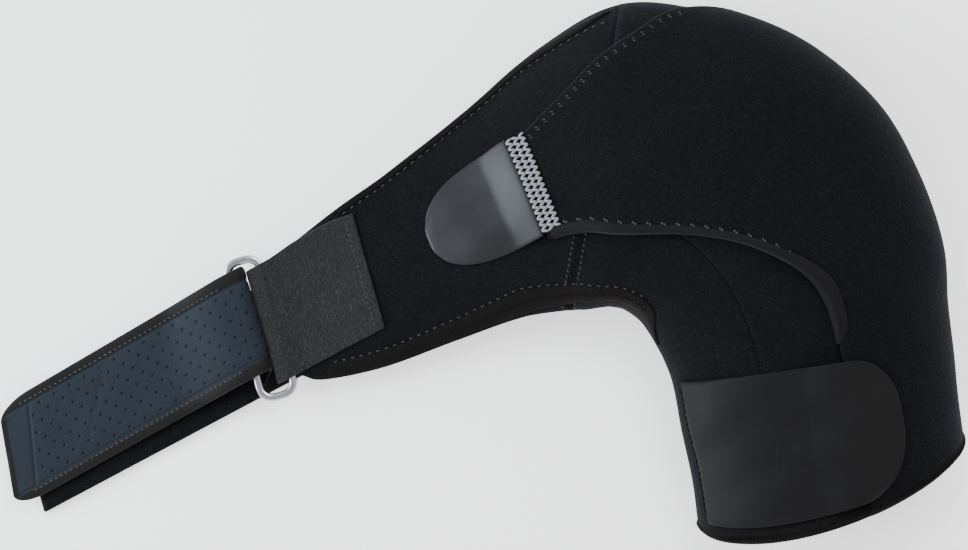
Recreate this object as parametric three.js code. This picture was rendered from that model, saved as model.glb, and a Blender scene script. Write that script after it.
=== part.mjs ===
// A cold compression wrap for one shoulder, lying on its back on a table.
// Millimetres. +X runs from the strap's free end towards the shoulder, +Y towards the neck and +Z up.
// The origin is on the table, under the middle of the whole wrap.
import * as THREE from 'three';

// ---- Driving dimensions ----

const FOAM = 3.5; // thickness of the foam panels
const PLY_GAP = 1.0; // air between two stacked foam plies
const TAPE = 1.0; // thickness of edge binding and seam tape
const TAPE_GAP = 0.4; // air under a binding, tab or tape
const SEAM_K = 9; // section on which the sleeve side joins the chest side
const SEAM_HALF_K = 0.015; // half of the slit left along that join
const GUSSET_ANGLE = 113; // where the underarm gusset meets the front sleeve panel
const CUFF_BOW = 22; // how far the front of the cuff reaches beyond its two side edges
const BACK_BOW_SHARE = 0.3; // share of that bow on the back of the cuff
const ARMPIT_DENT = 8; // depth of the hollow in the front, beside the armpit

// Cross-sections from the cuff (first) to the strap end of the chest (last), numbered k = 0, 1, 2 ...
// inner and outer: where the section's two side edges lie on the table, x and y.
// front and back: heights of the front and back sheets at the inner and at the outer edge.
// crown: rise of the front sheet between its edges. round: 1 for a rolled edge, 2 for an open sheet.
const SECTIONS = [
  { inner: [132.3, -146.8], outer: [277.8, -95.3], front: [31, 31], back: [31, 31], crown: 37, round: 1.0 },
  { inner: [129.1, -122.8], outer: [274.8, -72.8], front: [32, 32], back: [32, 32], crown: 37, round: 1.0 },
  { inner: [122.8, -93.8], outer: [272.8, -49.8], front: [33, 33], back: [33, 33], crown: 37, round: 1.0 },
  { inner: [115.7, -59.8], outer: [269.1, -18.8], front: [33, 34], back: [33, 34], crown: 37, round: 1.0 },
  { inner: [101.3, -31.8], outer: [266.3, 15.2], front: [32, 35], back: [31, 35], crown: 39, round: 1.0 },
  { inner: [89.1, -20.4], outer: [252.3, 55.7], front: [33, 36], back: [20, 36], crown: 40, round: 1.0 },
  { inner: [78.3, -17.3], outer: [228.5, 96.2], front: [34, 36], back: [10, 36], crown: 39, round: 1.0 },
  { inner: [70.3, -17.8], outer: [185.7, 131.7], front: [34, 34], back: [5, 34], crown: 36, round: 1.0 },
  { inner: [62.3, -19], outer: [133.3, 151.2], front: [33, 31], back: [3.5, 31], crown: 32, round: 1.0 },
  { inner: [52.3, -19.6], outer: [83.3, 155.7], front: [31, 26], back: [3.5, 24], crown: 26, round: 1.1 },
  { inner: [24.3, -25.1], outer: [38.3, 132.2], front: [27, 20], back: [3.5, 11], crown: 19, round: 1.5 },
  { inner: [-14.7, -40.4], outer: [-8.7, 94], front: [22, 15], back: [3.5, 3.5], crown: 12, round: 1.9 },
  { inner: [-56.7, -56.4], outer: [-53.7, 59.8], front: [17, 13.5], back: [3.5, 3.5], crown: 6, round: 2 },
  { inner: [-92.7, -64.2], outer: [-87.7, 36.2], front: [13.5, 12.6], back: [3.5, 3.5], crown: 1.5, round: 2 },
  { inner: [-106.3, -61.8], outer: [-125.7, 6.2], front: [12.2, 12.2], back: [3.5, 3.5], crown: 0, round: 2 },
];
const LAST_K = SECTIONS.length - 1;
const OPEN_K = 10.4; // beyond this section the chest and the back panels part at the neck side

// The ring and the strap use their own frame: n across the ring's bars towards the chest,
// w along the bars towards the neck side, both on the table, from the ring's centre.
const RING_CENTRE = new THREE.Vector2(-130, -33.3);
const RING_TURN = THREE.MathUtils.degToRad(16);
const STRAP_SKEW = Math.tan(THREE.MathUtils.degToRad(12)); // the strap meets the bars at a slant
const RING_HEIGHT = 13.95;
const RING_HALF_LENGTH = 44.5;
const RING_CORNER = 8; // radius of the ring's corners, to the bar's centre line
const KEEPER_BAR_N = 9; // the long bar in the webbing's fold
const STRAP_BAR_N = -11.5; // the long bar in the strap's loop
const BAR_HALF_WIDTH = 2.5;
const BAR_HALF_HEIGHT = 2;
const WEBBING = 1.6; // thickness of the ribbed keeper webbing
const KEEPER_LENGTH = 71;
const KEEPER_HALF_WIDTH = 35;
const STRAP = 2.8; // thickness of the torso strap
const STRAP_HALF_WIDTH = 30.5;
const FREE_END_HALF_WIDTH = [32, 30.2]; // at its root and near its tip
const LOOP_HALF_HEIGHT = 5.8; // the strap's loop leaves its bar room to rock
const LOOP_REACH = 8.6; // how far the slack loop stands off its bar towards the chest
const FOLD_REACH = 8.6; // how far the webbing's slack fold stands off its bar the other way
const STRAP_FOLD_N = -155.5; // where the strap doubles back under its free end
const FREE_END_N = -168.6; // the free end's tip
const FREE_END_HEIGHT = 9.4;
const FREE_END_ROOT_N = -18;
const UPPER_SHIFT = [7.4, 2.6]; // the free end lies a little towards the neck side, at its root and its tip
const LOWER_SHIFT = -6.8; // the runs under it lie a little the other way

// The flap's hook tab: its root runs across the flap's end, and it points along the chest.
const TAB_ROOT = new THREE.Vector2(29.6, 49.5);
const TAB_ACROSS = new THREE.Vector2(0.384, -0.924);
const TAB_ALONG = new THREE.Vector2(-0.924, -0.384);
const TAB_LENGTH = 67;
const TAB_HALF_WIDTH = 29;
const TAB_LEAN = 0.1;
const TAB_THICKNESS = 1.6;

// The cuff's hook tab, between two sections and from the inner edge across the front.
const CUFF_TAB_MID_K = [1.5, 1.28]; // at its root and at its round end
const CUFF_TAB_HALF_K = [1.34, 1.22];
const CUFF_TAB_ROOT_ANGLE = 160;

// The gel pack lies in a pocket against the back, along the upper arm.
const PACK_CENTRE = new THREE.Vector2(180.3, 13.2);
const ARM_ALONG = new THREE.Vector2(-0.183, 0.983);
const ARM_ACROSS = new THREE.Vector2(0.983, 0.183);
const PACK_HALF_LENGTH = 52;
const PACK_HALF_WIDTH = 42;
const PACK_BOTTOM = 4.7;
const PACK_DEPTH = 9.4;
const PACK_FILM = 0.6;
const POCKET_TOP = 16;

// ---- Small helpers ----

const wrap = new THREE.Group();
const lerp = THREE.MathUtils.lerp;

// A smooth curve through [x, y] points, as a function of x, straight beyond its ends.
function through(points) {
  const slope = points.map((_, i) => {
    const before = points[Math.max(i - 1, 0)];
    const after = points[Math.min(i + 1, points.length - 1)];
    return (after[1] - before[1]) / (after[0] - before[0]);
  });
  return (x) => {
    const last = points.length - 1;
    if (x <= points[0][0]) return points[0][1] + slope[0] * (x - points[0][0]);
    if (x >= points[last][0]) return points[last][1] + slope[last] * (x - points[last][0]);
    let i = 0;
    while (x > points[i + 1][0]) i += 1;
    const width = points[i + 1][0] - points[i][0];
    const t = (x - points[i][0]) / width;
    const t2 = t * t;
    const t3 = t2 * t;
    return (2 * t3 - 3 * t2 + 1) * points[i][1] + (t3 - 2 * t2 + t) * width * slope[i]
      + (3 * t2 - 2 * t3) * points[i + 1][1] + (t3 - t2) * width * slope[i + 1];
  };
}

function throughSections(pick) {
  return through(SECTIONS.map((section, k) => [k, pick(section)]));
}

const innerX = throughSections((section) => section.inner[0]);
const innerY = throughSections((section) => section.inner[1]);
const outerX = throughSections((section) => section.outer[0]);
const outerY = throughSections((section) => section.outer[1]);
const frontInner = throughSections((section) => section.front[0]);
const frontOuter = throughSections((section) => section.front[1]);
const backInner = throughSections((section) => section.back[0]);
const backOuter = throughSections((section) => section.back[1]);
const crownHeight = throughSections((section) => section.crown);
const edgeRound = throughSections((section) => section.round);

// The inside surface of the wrap at section k. The angle is 0 at the outer edge, 90 on the front,
// 180 at the inner edge and 270 (or -90) on the back.
function skin(k, angle) {
  const turn = THREE.MathUtils.degToRad(angle);
  const side = Math.cos(turn);
  const rise = Math.abs(Math.sin(turn));
  const inner = new THREE.Vector2(innerX(k), innerY(k));
  const outer = new THREE.Vector2(outerX(k), outerY(k));
  const plan = inner.clone().lerp(outer, (1 + side) / 2);
  const across = outer.clone().sub(inner).normalize();
  const isFront = Math.sin(turn) >= 0;
  const bow = CUFF_BOW * Math.max(0, 1 - k / 3) ** 2 * rise * (isFront ? 1 : BACK_BOW_SHARE);
  plan.x += across.y * bow;
  plan.y -= across.x * bow;
  const share = (1 + side) / 2;
  if (isFront) {
    const edge = lerp(frontInner(k), frontOuter(k), share);
    const dent = ARMPIT_DENT * Math.exp(-(((k - 5.4) / 2.2) ** 2) - ((side + 0.6) / 0.35) ** 2) * rise;
    return new THREE.Vector3(plan.x, plan.y, edge + crownHeight(k) * rise ** edgeRound(k) - dent);
  }
  const edge = Math.max(lerp(backInner(k), backOuter(k), share), FOAM);
  const drop = 1 - (1 - rise) ** 3;
  return new THREE.Vector3(plan.x, plan.y, edge - (edge - FOAM) * drop);
}

// The point that lies the given distance outside the inside surface.
function shell(k, angle, distance) {
  const step = 0.02;
  const margin = 2;
  const within = ((angle % 360) + 360) % 360;
  let sample = within;
  if (within < margin) sample = margin;
  if (within > 180 - margin && within <= 180) sample = 180 - margin;
  if (within > 180 && within < 180 + margin) sample = 180 + margin;
  if (within > 360 - margin) sample = 360 - margin;
  const alongK = skin(k + step, sample).sub(skin(k - step, sample));
  const alongAngle = skin(k, sample + 1).sub(skin(k, sample - 1));
  const normal = alongK.cross(alongAngle).normalize();
  return skin(k, angle).addScaledVector(normal, distance);
}

// The angle that is a given number of millimetres further round section k.
function further(k, angle, millimetres) {
  const span = skin(k, angle + 1).distanceTo(skin(k, angle - 1)) / 2;
  return angle + millimetres / Math.max(span, 0.4);
}

// The section and the angle of the front sheet above a place on the table.
function locate(place, startK) {
  let k = startK;
  let angle = 90;
  for (let round = 0; round < 12; round += 1) {
    const here = skin(k, angle);
    const byK = skin(k + 0.01, angle).sub(here).divideScalar(0.01);
    const byAngle = skin(k, angle + 0.1).sub(here).divideScalar(0.1);
    const missX = place.x - here.x;
    const missY = place.y - here.y;
    const scale = byK.x * byAngle.y - byK.y * byAngle.x;
    k += (missX * byAngle.y - missY * byAngle.x) / scale;
    angle = THREE.MathUtils.clamp(angle + (byK.x * missY - byK.y * missX) / scale, 3, 177);
  }
  return { k, angle };
}

// A closed sheet: point(u, v, side) gives its lower face for side 0 and its upper face for side 1.
// With ring, the sheet joins up with itself along v.
function slab(columns, rows, point, ring = false) {
  const perRow = ring ? rows : rows + 1;
  const positions = [];
  for (let side = 0; side < 2; side += 1) {
    for (let i = 0; i <= columns; i += 1) {
      for (let j = 0; j < perRow; j += 1) {
        positions.push(...point(i / columns, j / rows, side).toArray());
      }
    }
  }
  const at = (side, i, j) => side * (columns + 1) * perRow + i * perRow + (j % perRow);
  const faces = [];
  const quad = (a, b, c, d) => faces.push(a, b, c, a, c, d);
  for (let i = 0; i < columns; i += 1) {
    for (let j = 0; j < rows; j += 1) {
      quad(at(1, i, j), at(1, i + 1, j), at(1, i + 1, j + 1), at(1, i, j + 1));
      quad(at(0, i, j), at(0, i, j + 1), at(0, i + 1, j + 1), at(0, i + 1, j));
    }
  }
  for (let j = 0; j < rows; j += 1) {
    quad(at(0, 0, j), at(1, 0, j), at(1, 0, j + 1), at(0, 0, j + 1));
    quad(at(0, columns, j), at(0, columns, j + 1), at(1, columns, j + 1), at(1, columns, j));
  }
  for (let i = 0; i < columns && !ring; i += 1) {
    quad(at(0, i, 0), at(0, i + 1, 0), at(1, i + 1, 0), at(1, i, 0));
    quad(at(0, i, rows), at(1, i, rows), at(1, i + 1, rows), at(0, i + 1, rows));
  }
  return facingOut(positions, faces);
}

// Turns a closed set of triangles so that its faces point outwards.
function facingOut(positions, faces) {
  const corner = (index) => new THREE.Vector3().fromArray(positions, 3 * index);
  let volume = 0;
  for (let f = 0; f < faces.length; f += 3) {
    volume += corner(faces[f]).dot(corner(faces[f + 1]).cross(corner(faces[f + 2])));
  }
  const geometry = new THREE.BufferGeometry();
  geometry.setAttribute('position', new THREE.Float32BufferAttribute(positions, 3));
  geometry.setIndex(volume > 0 ? faces : faces.slice().reverse());
  geometry.computeVertexNormals();
  return geometry;
}

function add(name, geometry, look) {
  const mesh = new THREE.Mesh(geometry, new THREE.MeshStandardMaterial(look));
  mesh.name = name;
  wrap.add(mesh);
}

// ---- Looks ----

const LOOP_FABRIC = { color: 0x141415, roughness: 0.95, metalness: 0 };
const BINDING_FABRIC = { color: 0x18151a, roughness: 0.9, metalness: 0 };
const HOOK_PLASTIC = { color: 0x3c3d42, roughness: 0.45, metalness: 0 };
const RIBBED_WEBBING = { color: 0x2a2a2c, roughness: 0.8, metalness: 0 };
const PERFORATED_SKIN = { color: 0x2a3340, roughness: 0.7, metalness: 0 };
const THREAD = { color: 0x9a9ba0, roughness: 0.7, metalness: 0 };
const PLATED_METAL = { color: 0xb9bcc2, roughness: 0.25, metalness: 1 };
const LINING_MESH = { color: 0x202226, roughness: 0.9, metalness: 0 };
const PACK_FILM_LOOK = { color: 0x9db9cc, roughness: 0.35, metalness: 0 };
const GEL = { color: 0x3f7fae, roughness: 0.3, metalness: 0 };

// ---- Panels of the wrap ----

// A panel between two sections and two angles, lying from one distance to another outside the skin.
function panel(name, span, steps, inside, outside, look) {
  const point = (u, v, side) => {
    const k = lerp(span.fromK, span.toK, u);
    const angle = lerp(span.fromAngle, span.toAngle, v);
    return shell(k, angle, side ? outside : inside);
  };
  add(name, slab(steps[0], steps[1], point), look);
}

const sleeveEnd = SEAM_K - SEAM_HALF_K;
const chestStart = SEAM_K + SEAM_HALF_K;

function addPanels() {
  const front = { fromK: 0, toK: sleeveEnd, fromAngle: 1.5, toAngle: GUSSET_ANGLE - 0.4 };
  panel('front_sleeve_panel', front, [20, 10], 0, FOAM, LOOP_FABRIC);
  const gusset = { fromK: 0, toK: sleeveEnd, fromAngle: GUSSET_ANGLE + 0.4, toAngle: 178.5 };
  panel('underarm_gusset', gusset, [20, 7], 0, FOAM, LOOP_FABRIC);
  const rear = { fromK: 0, toK: sleeveEnd, fromAngle: 181.5, toAngle: 358.5 };
  panel('rear_sleeve_panel', rear, [18, 18], 0, FOAM, LOOP_FABRIC);
  const chest = { fromK: chestStart, toK: LAST_K, fromAngle: 1.5, toAngle: 178.5 };
  panel('chest_panel', chest, [20, 14], 0, FOAM, LOOP_FABRIC);
  const back = { fromK: chestStart, toK: LAST_K, fromAngle: 181.5, toAngle: 358.5 };
  panel('back_panel', back, [18, 12], 0, FOAM, LOOP_FABRIC);
}

// ---- The outer flap over the shoulder ----

const FLAP_INSIDE = FOAM + PLY_GAP;
const FLAP_OUTSIDE = FLAP_INSIDE + FOAM;
const FLAP_FRONT_END_K = 9.6;
const FLAP_BACK_END_K = 10.3;
const flapFrontAngle = through([[0, 78], [3, 79], [4, 83], [5, 95], [6, 107], [7, 116], [8, 120], [9.6, 119.5]]);
const flapBackAngle = through([[0, -22], [6.4, -22], [7.4, -10], [8.37, 21], [8.7, 36.5], [9.17, 49], [9.6, 59], [10.3, 69]]);

// v runs from the flap's front edge (0) over the shoulder to its back edge (1).
function flapPlace(u, v) {
  const front = flapFrontAngle(u * FLAP_FRONT_END_K);
  const back = flapBackAngle(u * FLAP_BACK_END_K);
  return { k: u * lerp(FLAP_FRONT_END_K, FLAP_BACK_END_K, v), angle: lerp(front, back, v) };
}

function flapPoint(u, v, distance) {
  const { k, angle } = flapPlace(u, v);
  return shell(k, angle, distance);
}

function addFlap() {
  const flap = slab(34, 16, (u, v, side) => flapPoint(u, v, side ? FLAP_OUTSIDE : FLAP_INSIDE));
  add('shoulder_flap', flap, LOOP_FABRIC);
  const firstU = 0.3;
  const width = 8;
  const under = FLAP_OUTSIDE + TAPE_GAP;
  const strip = (u, v, side) => {
    const along = lerp(firstU, 0.955, u);
    const span = flapPoint(along, 0.1, under).distanceTo(flapPoint(along, 0, under));
    return flapPoint(along, 0.005 + (0.1 * width * v) / span, side ? under + TAPE : under);
  };
  add('flap_binding', slab(30, 2, strip), BINDING_FABRIC);
}

// ---- Edge bindings and the cuff hem ----

// A tape along one edge of a sheet, from section to section, a few millimetres wide.
function tape(name, fromK, toK, edgeAngle, width, steps) {
  const under = FOAM + TAPE_GAP;
  const point = (u, v, side) => {
    const k = lerp(fromK, toK, u);
    const inward = edgeAngle(k) < 90 || edgeAngle(k) > 270 ? 1 : -1;
    const turn = edgeAngle(k) > 180 ? -inward : inward;
    return shell(k, further(k, edgeAngle(k), turn * width * v), side ? under + TAPE : under);
  };
  add(name, slab(steps, 2, point), BINDING_FABRIC);
}

function addTapes() {
  const openEdge = 24; // where a tape on an open edge starts, in degrees from that edge
  const endK = LAST_K - 1.1;
  const innerEdge = through([[4.6, 158], [6, 160], [9, 164], [11, 167], [13, 168]]);
  tape('underarm_binding', 4.6, endK, innerEdge, 9, 26);
  const outerEdge = through([[OPEN_K, openEdge], [11.5, 14], [13, 11]]);
  tape('chest_top_binding', OPEN_K, endK, outerEdge, 6, 12);
}

function addCuffHem() {
  const reach = (angle) => {
    const within = ((angle + 180) % 360) - 180;
    return within > -22 && within < 78 ? FLAP_OUTSIDE : FOAM;
  };
  const point = (u, v, side) => {
    const angle = -180 + 360 * v;
    return shell(lerp(-0.16, -0.04, u), angle, side ? reach(angle) : 0);
  };
  add('cuff_hem', slab(1, 48, point, true), BINDING_FABRIC);
}

// ---- Hook tabs ----

// How far across the tab reaches at a distance from its root, as a share of its half width.
function tongue(share) {
  return (1 - share ** 3) ** 0.45;
}

function tabPlace(s, w) {
  return TAB_ROOT.clone().addScaledVector(TAB_ALONG, s).addScaledVector(TAB_ACROSS, w + TAB_LEAN * s);
}

function addFlapTab() {
  const rampLength = 13;
  const rootLift = FLAP_OUTSIDE + TAPE_GAP;
  const flatLift = FOAM + TAPE_GAP;
  const point = (u, v, side) => {
    const share = 0.993 * Math.sin((u * Math.PI) / 2);
    const s = 0.8 + share * (TAB_LENGTH - 0.8);
    const place = locate(tabPlace(s, TAB_HALF_WIDTH * tongue(share) * (2 * v - 1)), 10.4);
    const ramp = THREE.MathUtils.smoothstep(s, 0, rampLength);
    return shell(place.k, place.angle, lerp(rootLift, flatLift, ramp) + side * TAB_THICKNESS);
  };
  add('flap_hook_tab', slab(18, 10, point), HOOK_PLASTIC);
  const band = (u, v, side) => {
    const place = locate(tabPlace(lerp(-10.5, -1.2, u), (TAB_HALF_WIDTH - 1.5) * (2 * v - 1)), 10);
    return shell(place.k, place.angle, FLAP_OUTSIDE + TAPE_GAP + 0.8 * side);
  };
  add('flap_tab_stitching', slab(3, 10, band), THREAD);
}

function addCuffTab() {
  const lowLift = FOAM + TAPE_GAP;
  const highLift = FLAP_OUTSIDE + TAPE_GAP;
  const point = (u, v, side) => {
    const t = Math.sin((2 * u - 1) * (Math.PI / 2)) * 0.995;
    const halfK = lerp(CUFF_TAB_HALF_K[0], CUFF_TAB_HALF_K[1], v);
    const k = lerp(CUFF_TAB_MID_K[0], CUFF_TAB_MID_K[1], v) + halfK * t;
    const reach = 0.57 + 0.205 * (1 - Math.abs(t) ** 2.6) ** (1 / 2.6);
    const tipAngle = THREE.MathUtils.radToDeg(Math.acos(2 * reach - 1));
    const angle = lerp(CUFF_TAB_ROOT_ANGLE, tipAngle, v);
    const lift = lerp(highLift, lowLift, THREE.MathUtils.smoothstep(angle, 82, 100));
    return shell(k, angle, lift + side * 1.8);
  };
  add('cuff_hook_tab', slab(16, 18, point), HOOK_PLASTIC);
}

// ---- The ring, the keeper webbing and the strap ----

function ringPlace(n, w, z) {
  const across = new THREE.Vector2(Math.cos(RING_TURN), Math.sin(RING_TURN));
  const along = new THREE.Vector2(-Math.sin(RING_TURN), Math.cos(RING_TURN));
  const plan = RING_CENTRE.clone().addScaledVector(across, n).addScaledVector(along, w);
  return new THREE.Vector3(plan.x, plan.y, z);
}

// Straight strap edges run at a slant to the ring's bars.
function strapPlace(n, w, z) {
  return ringPlace(n, w + n * STRAP_SKEW, z);
}

function addRing() {
  const middleN = (KEEPER_BAR_N + STRAP_BAR_N) / 2;
  const cornerN = (KEEPER_BAR_N - STRAP_BAR_N) / 2 - RING_CORNER;
  const cornerW = RING_HALF_LENGTH - BAR_HALF_WIDTH - RING_CORNER;
  const line = [];
  for (const [sideN, sideW, start] of [[1, 1, 0], [-1, 1, 90], [-1, -1, 180], [1, -1, 270]]) {
    for (let i = 0; i <= 5; i += 1) {
      const turn = THREE.MathUtils.degToRad(start + 18 * i);
      const out = [Math.cos(turn), Math.sin(turn)];
      line.push([middleN + sideN * cornerN + RING_CORNER * out[0], sideW * cornerW + RING_CORNER * out[1], out]);
    }
  }
  const sides = 10;
  const positions = [];
  for (const [n, w, out] of line) {
    for (let j = 0; j < sides; j += 1) {
      const turn = (2 * Math.PI * j) / sides;
      const reach = BAR_HALF_WIDTH * Math.cos(turn);
      const z = RING_HEIGHT + BAR_HALF_HEIGHT * Math.sin(turn);
      positions.push(...ringPlace(n + reach * out[0], w + reach * out[1], z).toArray());
    }
  }
  const faces = [];
  for (let i = 0; i < line.length; i += 1) {
    for (let j = 0; j < sides; j += 1) {
      const next = ((i + 1) % line.length) * sides;
      const a = i * sides + j;
      const b = next + j;
      const c = next + ((j + 1) % sides);
      const d = i * sides + ((j + 1) % sides);
      faces.push(a, b, c, a, c, d);
    }
  }
  add('strap_ring', facingOut(positions, faces), PLATED_METAL);
}

// A ribbon whose middle line is a list of [n, z, shift] and whose width runs along the ring's bars.
function ribbon(line, thickness, halfWidth) {
  const point = (u, v, side) => {
    const i = Math.round(u * (line.length - 1));
    const before = line[Math.max(i - 1, 0)];
    const after = line[Math.min(i + 1, line.length - 1)];
    const run = Math.hypot(after[0] - before[0], after[1] - before[1]);
    const lift = (side - 0.5) * thickness;
    const n = line[i][0] - (lift * (after[1] - before[1])) / run;
    const z = line[i][1] + (lift * (after[0] - before[0])) / run;
    return strapPlace(n, line[i][2] + halfWidth * (2 * v - 1), z);
  };
  return slab(line.length - 1, 2, point);
}

// Points of an elliptical arc in the n, z plane, from one angle to another in degrees.
function arc(n, z, reach, rise, from, to, steps) {
  const points = [];
  for (let i = 0; i <= steps; i += 1) {
    const turn = THREE.MathUtils.degToRad(lerp(from, to, i / steps));
    points.push([n + reach * Math.cos(turn), z + rise * Math.sin(turn)]);
  }
  return points;
}

// The keeper lies on the chest panel, turns round the ring's bar and goes back under the panel.
function addKeeper() {
  const foldRadius = BAR_HALF_WIDTH + TAPE_GAP + WEBBING / 2;
  const nearEnd = KEEPER_BAR_N + 6;
  const farEnd = KEEPER_BAR_N - FOLD_REACH - WEBBING / 2 + KEEPER_LENGTH;
  const straight = 8;
  const line = [];
  for (let i = 0; i <= straight; i += 1) {
    line.push({ n: lerp(farEnd, nearEnd, i / straight), sheet: 1 });
  }
  for (const [n, z] of arc(KEEPER_BAR_N, RING_HEIGHT, FOLD_REACH, foldRadius, 80, 280, 14)) {
    line.push({ n, z });
  }
  for (let i = 0; i <= straight; i += 1) {
    line.push({ n: lerp(nearEnd, farEnd - 12, i / straight), sheet: -1 });
  }
  const middle = (place, w) => {
    if (place.z !== undefined) return strapPlace(place.n, w, place.z);
    const spot = strapPlace(place.n, w, 0);
    const found = locate(spot, 13);
    const half = FOAM / 2 + TAPE_GAP + WEBBING / 2;
    spot.z = shell(found.k, found.angle, FOAM / 2 + place.sheet * half).z;
    return spot;
  };
  const point = (u, v, side) => {
    const i = Math.round(u * (line.length - 1));
    const w = KEEPER_HALF_WIDTH * (2 * v - 1);
    const here = middle(line[i], w);
    const before = middle(line[Math.max(i - 1, 0)], w);
    const after = middle(line[Math.min(i + 1, line.length - 1)], w);
    const along = after.clone().sub(before).normalize();
    const bars = strapPlace(0, 1, 0).sub(strapPlace(0, 0, 0));
    const normal = along.cross(bars).normalize();
    return here.addScaledVector(normal, (side - 0.5) * WEBBING);
  };
  add('keeper_webbing', slab(line.length - 1, 6, point), RIBBED_WEBBING);
}

const LOOP_TOP = RING_HEIGHT + LOOP_HALF_HEIGHT;
const LOOP_BOTTOM = RING_HEIGHT - LOOP_HALF_HEIGHT;

// The strap comes off the back panel, doubles back at the far end and passes up through the ring.
function addTorsoStrap() {
  const backRun = STRAP / 2;
  const foldRadius = STRAP / 2 + 0.25;
  const middleRun = backRun + 2 * foldRadius;
  const onPanel = FOAM + TAPE_GAP + STRAP / 2;
  const line = [
    [44, onPanel],
    [13, onPanel],
    [4, backRun + 0.6],
    [-4, backRun],
    [-50, backRun],
    [-100, backRun],
    ...arc(STRAP_FOLD_N + foldRadius, backRun + foldRadius, foldRadius, foldRadius, 270, 90, 8),
    [-100, middleRun],
    [-50, middleRun],
    [-32, lerp(middleRun, LOOP_BOTTOM, 0.5)],
    [-18, LOOP_BOTTOM],
    ...arc(STRAP_BAR_N, RING_HEIGHT, LOOP_REACH, LOOP_HALF_HEIGHT, -90, 90, 14),
    [FREE_END_ROOT_N + TAPE_GAP, LOOP_TOP],
  ];
  const shifts = line.map(([n, z]) => {
    const rise = (z - LOOP_BOTTOM) / (LOOP_TOP - LOOP_BOTTOM);
    const share = n > FREE_END_ROOT_N - 1 ? THREE.MathUtils.clamp(rise, 0, 1) : 0;
    return [n, z, lerp(LOWER_SHIFT, UPPER_SHIFT[0], share)];
  });
  add('torso_strap', ribbon(shifts, STRAP, STRAP_HALF_WIDTH), LOOP_FABRIC);
}

// The free end's outline: w at a distance from the root, with rounded corners and a slanted tip.
function freeEndPlace(u, v, z, inset) {
  const cornerN = 20;
  const cornerW = 9;
  const tip = FREE_END_N + inset;
  const n = lerp(FREE_END_ROOT_N, tip, u);
  const past = Math.max(0, (tip + cornerN - n) / cornerN);
  const full = lerp(FREE_END_HALF_WIDTH[0], FREE_END_HALF_WIDTH[1], u);
  const half = full - inset - cornerW * (1 - Math.sqrt(1 - Math.min(past, 1) ** 2));
  const w = half * (2 * v - 1);
  return strapPlace(n + 0.11 * w * u, lerp(UPPER_SHIFT[0], UPPER_SHIFT[1], u) + w, z);
}

function freeEndMiddle(n) {
  const ramp = THREE.MathUtils.smoothstep(-n, -FREE_END_ROOT_N, 62);
  return lerp(LOOP_TOP, FREE_END_HEIGHT, ramp);
}

function addFreeEnd() {
  const spread = (u) => 1 - (1 - u) ** 1.6;
  const point = (u, v, side) => {
    const along = spread(u);
    const z = freeEndMiddle(lerp(FREE_END_ROOT_N, FREE_END_N, along)) + (side - 0.5) * STRAP;
    return freeEndPlace(along, v, z, 0);
  };
  add('strap_free_end', slab(26, 4, point), PERFORATED_SKIN);
  const patchStart = 0.88;
  const patch = (u, v, side) => {
    const z = FREE_END_HEIGHT - STRAP / 2 - TAPE_GAP - (1 - side) * TAPE;
    return freeEndPlace(lerp(patchStart, 1, u), v, z, 3);
  };
  add('strap_hook_patch', slab(8, 4, patch), HOOK_PLASTIC);
}

// ---- The cold pack and its pocket ----

function armPlace(along, across, z) {
  const plan = PACK_CENTRE.clone().addScaledVector(ARM_ALONG, along).addScaledVector(ARM_ACROSS, across);
  return new THREE.Vector3(plan.x, plan.y, z);
}

// A rounded pad: the share of its depth left at a place given as -1 to 1 each way.
function pillow(a, b) {
  return ((1 - a ** 6) * (1 - b ** 6)) ** 0.5;
}

// Moves a square place, -1 to 1 each way, into a square with round corners.
function roundCorners(a, b) {
  const pull = 0.16 * (a * a) * (b * b);
  return [a * (1 - pull), b * (1 - pull)];
}

function addPack() {
  const middle = PACK_BOTTOM + PACK_DEPTH / 2;
  const layer = (name, low, high, look) => {
    const point = (u, v, side) => {
      const [a, b] = roundCorners(2 * u - 1, 2 * v - 1);
      const swell = pillow((2 * u - 1) * 0.97, (2 * v - 1) * 0.97);
      const place = armPlace(a * PACK_HALF_LENGTH, b * PACK_HALF_WIDTH, 0);
      place.z = middle + (side ? high : low)(swell);
      return place;
    };
    add(name, slab(12, 10, point), look);
  };
  const half = PACK_DEPTH / 2;
  const bulge = (swell) => 0.5 + (half - PACK_FILM - 0.5) * swell;
  layer('gel_filling', (swell) => 0.3 - bulge(swell), (swell) => bulge(swell) - 0.3, GEL);
  layer('gel_pack_top_film', bulge, (swell) => bulge(swell) + PACK_FILM, PACK_FILM_LOOK);
  layer('gel_pack_bottom_film', (swell) => -bulge(swell) - PACK_FILM, (swell) => -bulge(swell), PACK_FILM_LOOK);
}

function addPocket() {
  const halfWidth = PACK_HALF_WIDTH + 8;
  const mouth = -PACK_HALF_LENGTH + 14;
  const end = PACK_HALF_LENGTH + 8;
  const lowest = PACK_BOTTOM + 1.6;
  const height = (along, across) => {
    const sideWall = THREE.MathUtils.smoothstep(halfWidth - Math.abs(across), 0, 8);
    const endWall = THREE.MathUtils.smoothstep(end - along, 0, 8);
    return lerp(lowest, POCKET_TOP, Math.min(sideWall, endWall));
  };
  const liner = (u, v, side) => {
    const along = lerp(mouth, end, 1 - (1 - u) ** 1.5);
    const turn = 2 * v - 1;
    const across = halfWidth * Math.sign(turn) * (1 - (1 - Math.abs(turn)) ** 1.5);
    return armPlace(along, across, height(along, across) + side * TAPE);
  };
  add('pocket_liner', slab(12, 16, liner), LINING_MESH);
  const binding = (u, v, side) => {
    const across = (halfWidth - 10) * (2 * v - 1);
    return armPlace(mouth + 7 * u, across, POCKET_TOP + TAPE + TAPE_GAP + side * TAPE);
  };
  add('pocket_mouth_binding', slab(2, 6, binding), BINDING_FABRIC);
}

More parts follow.
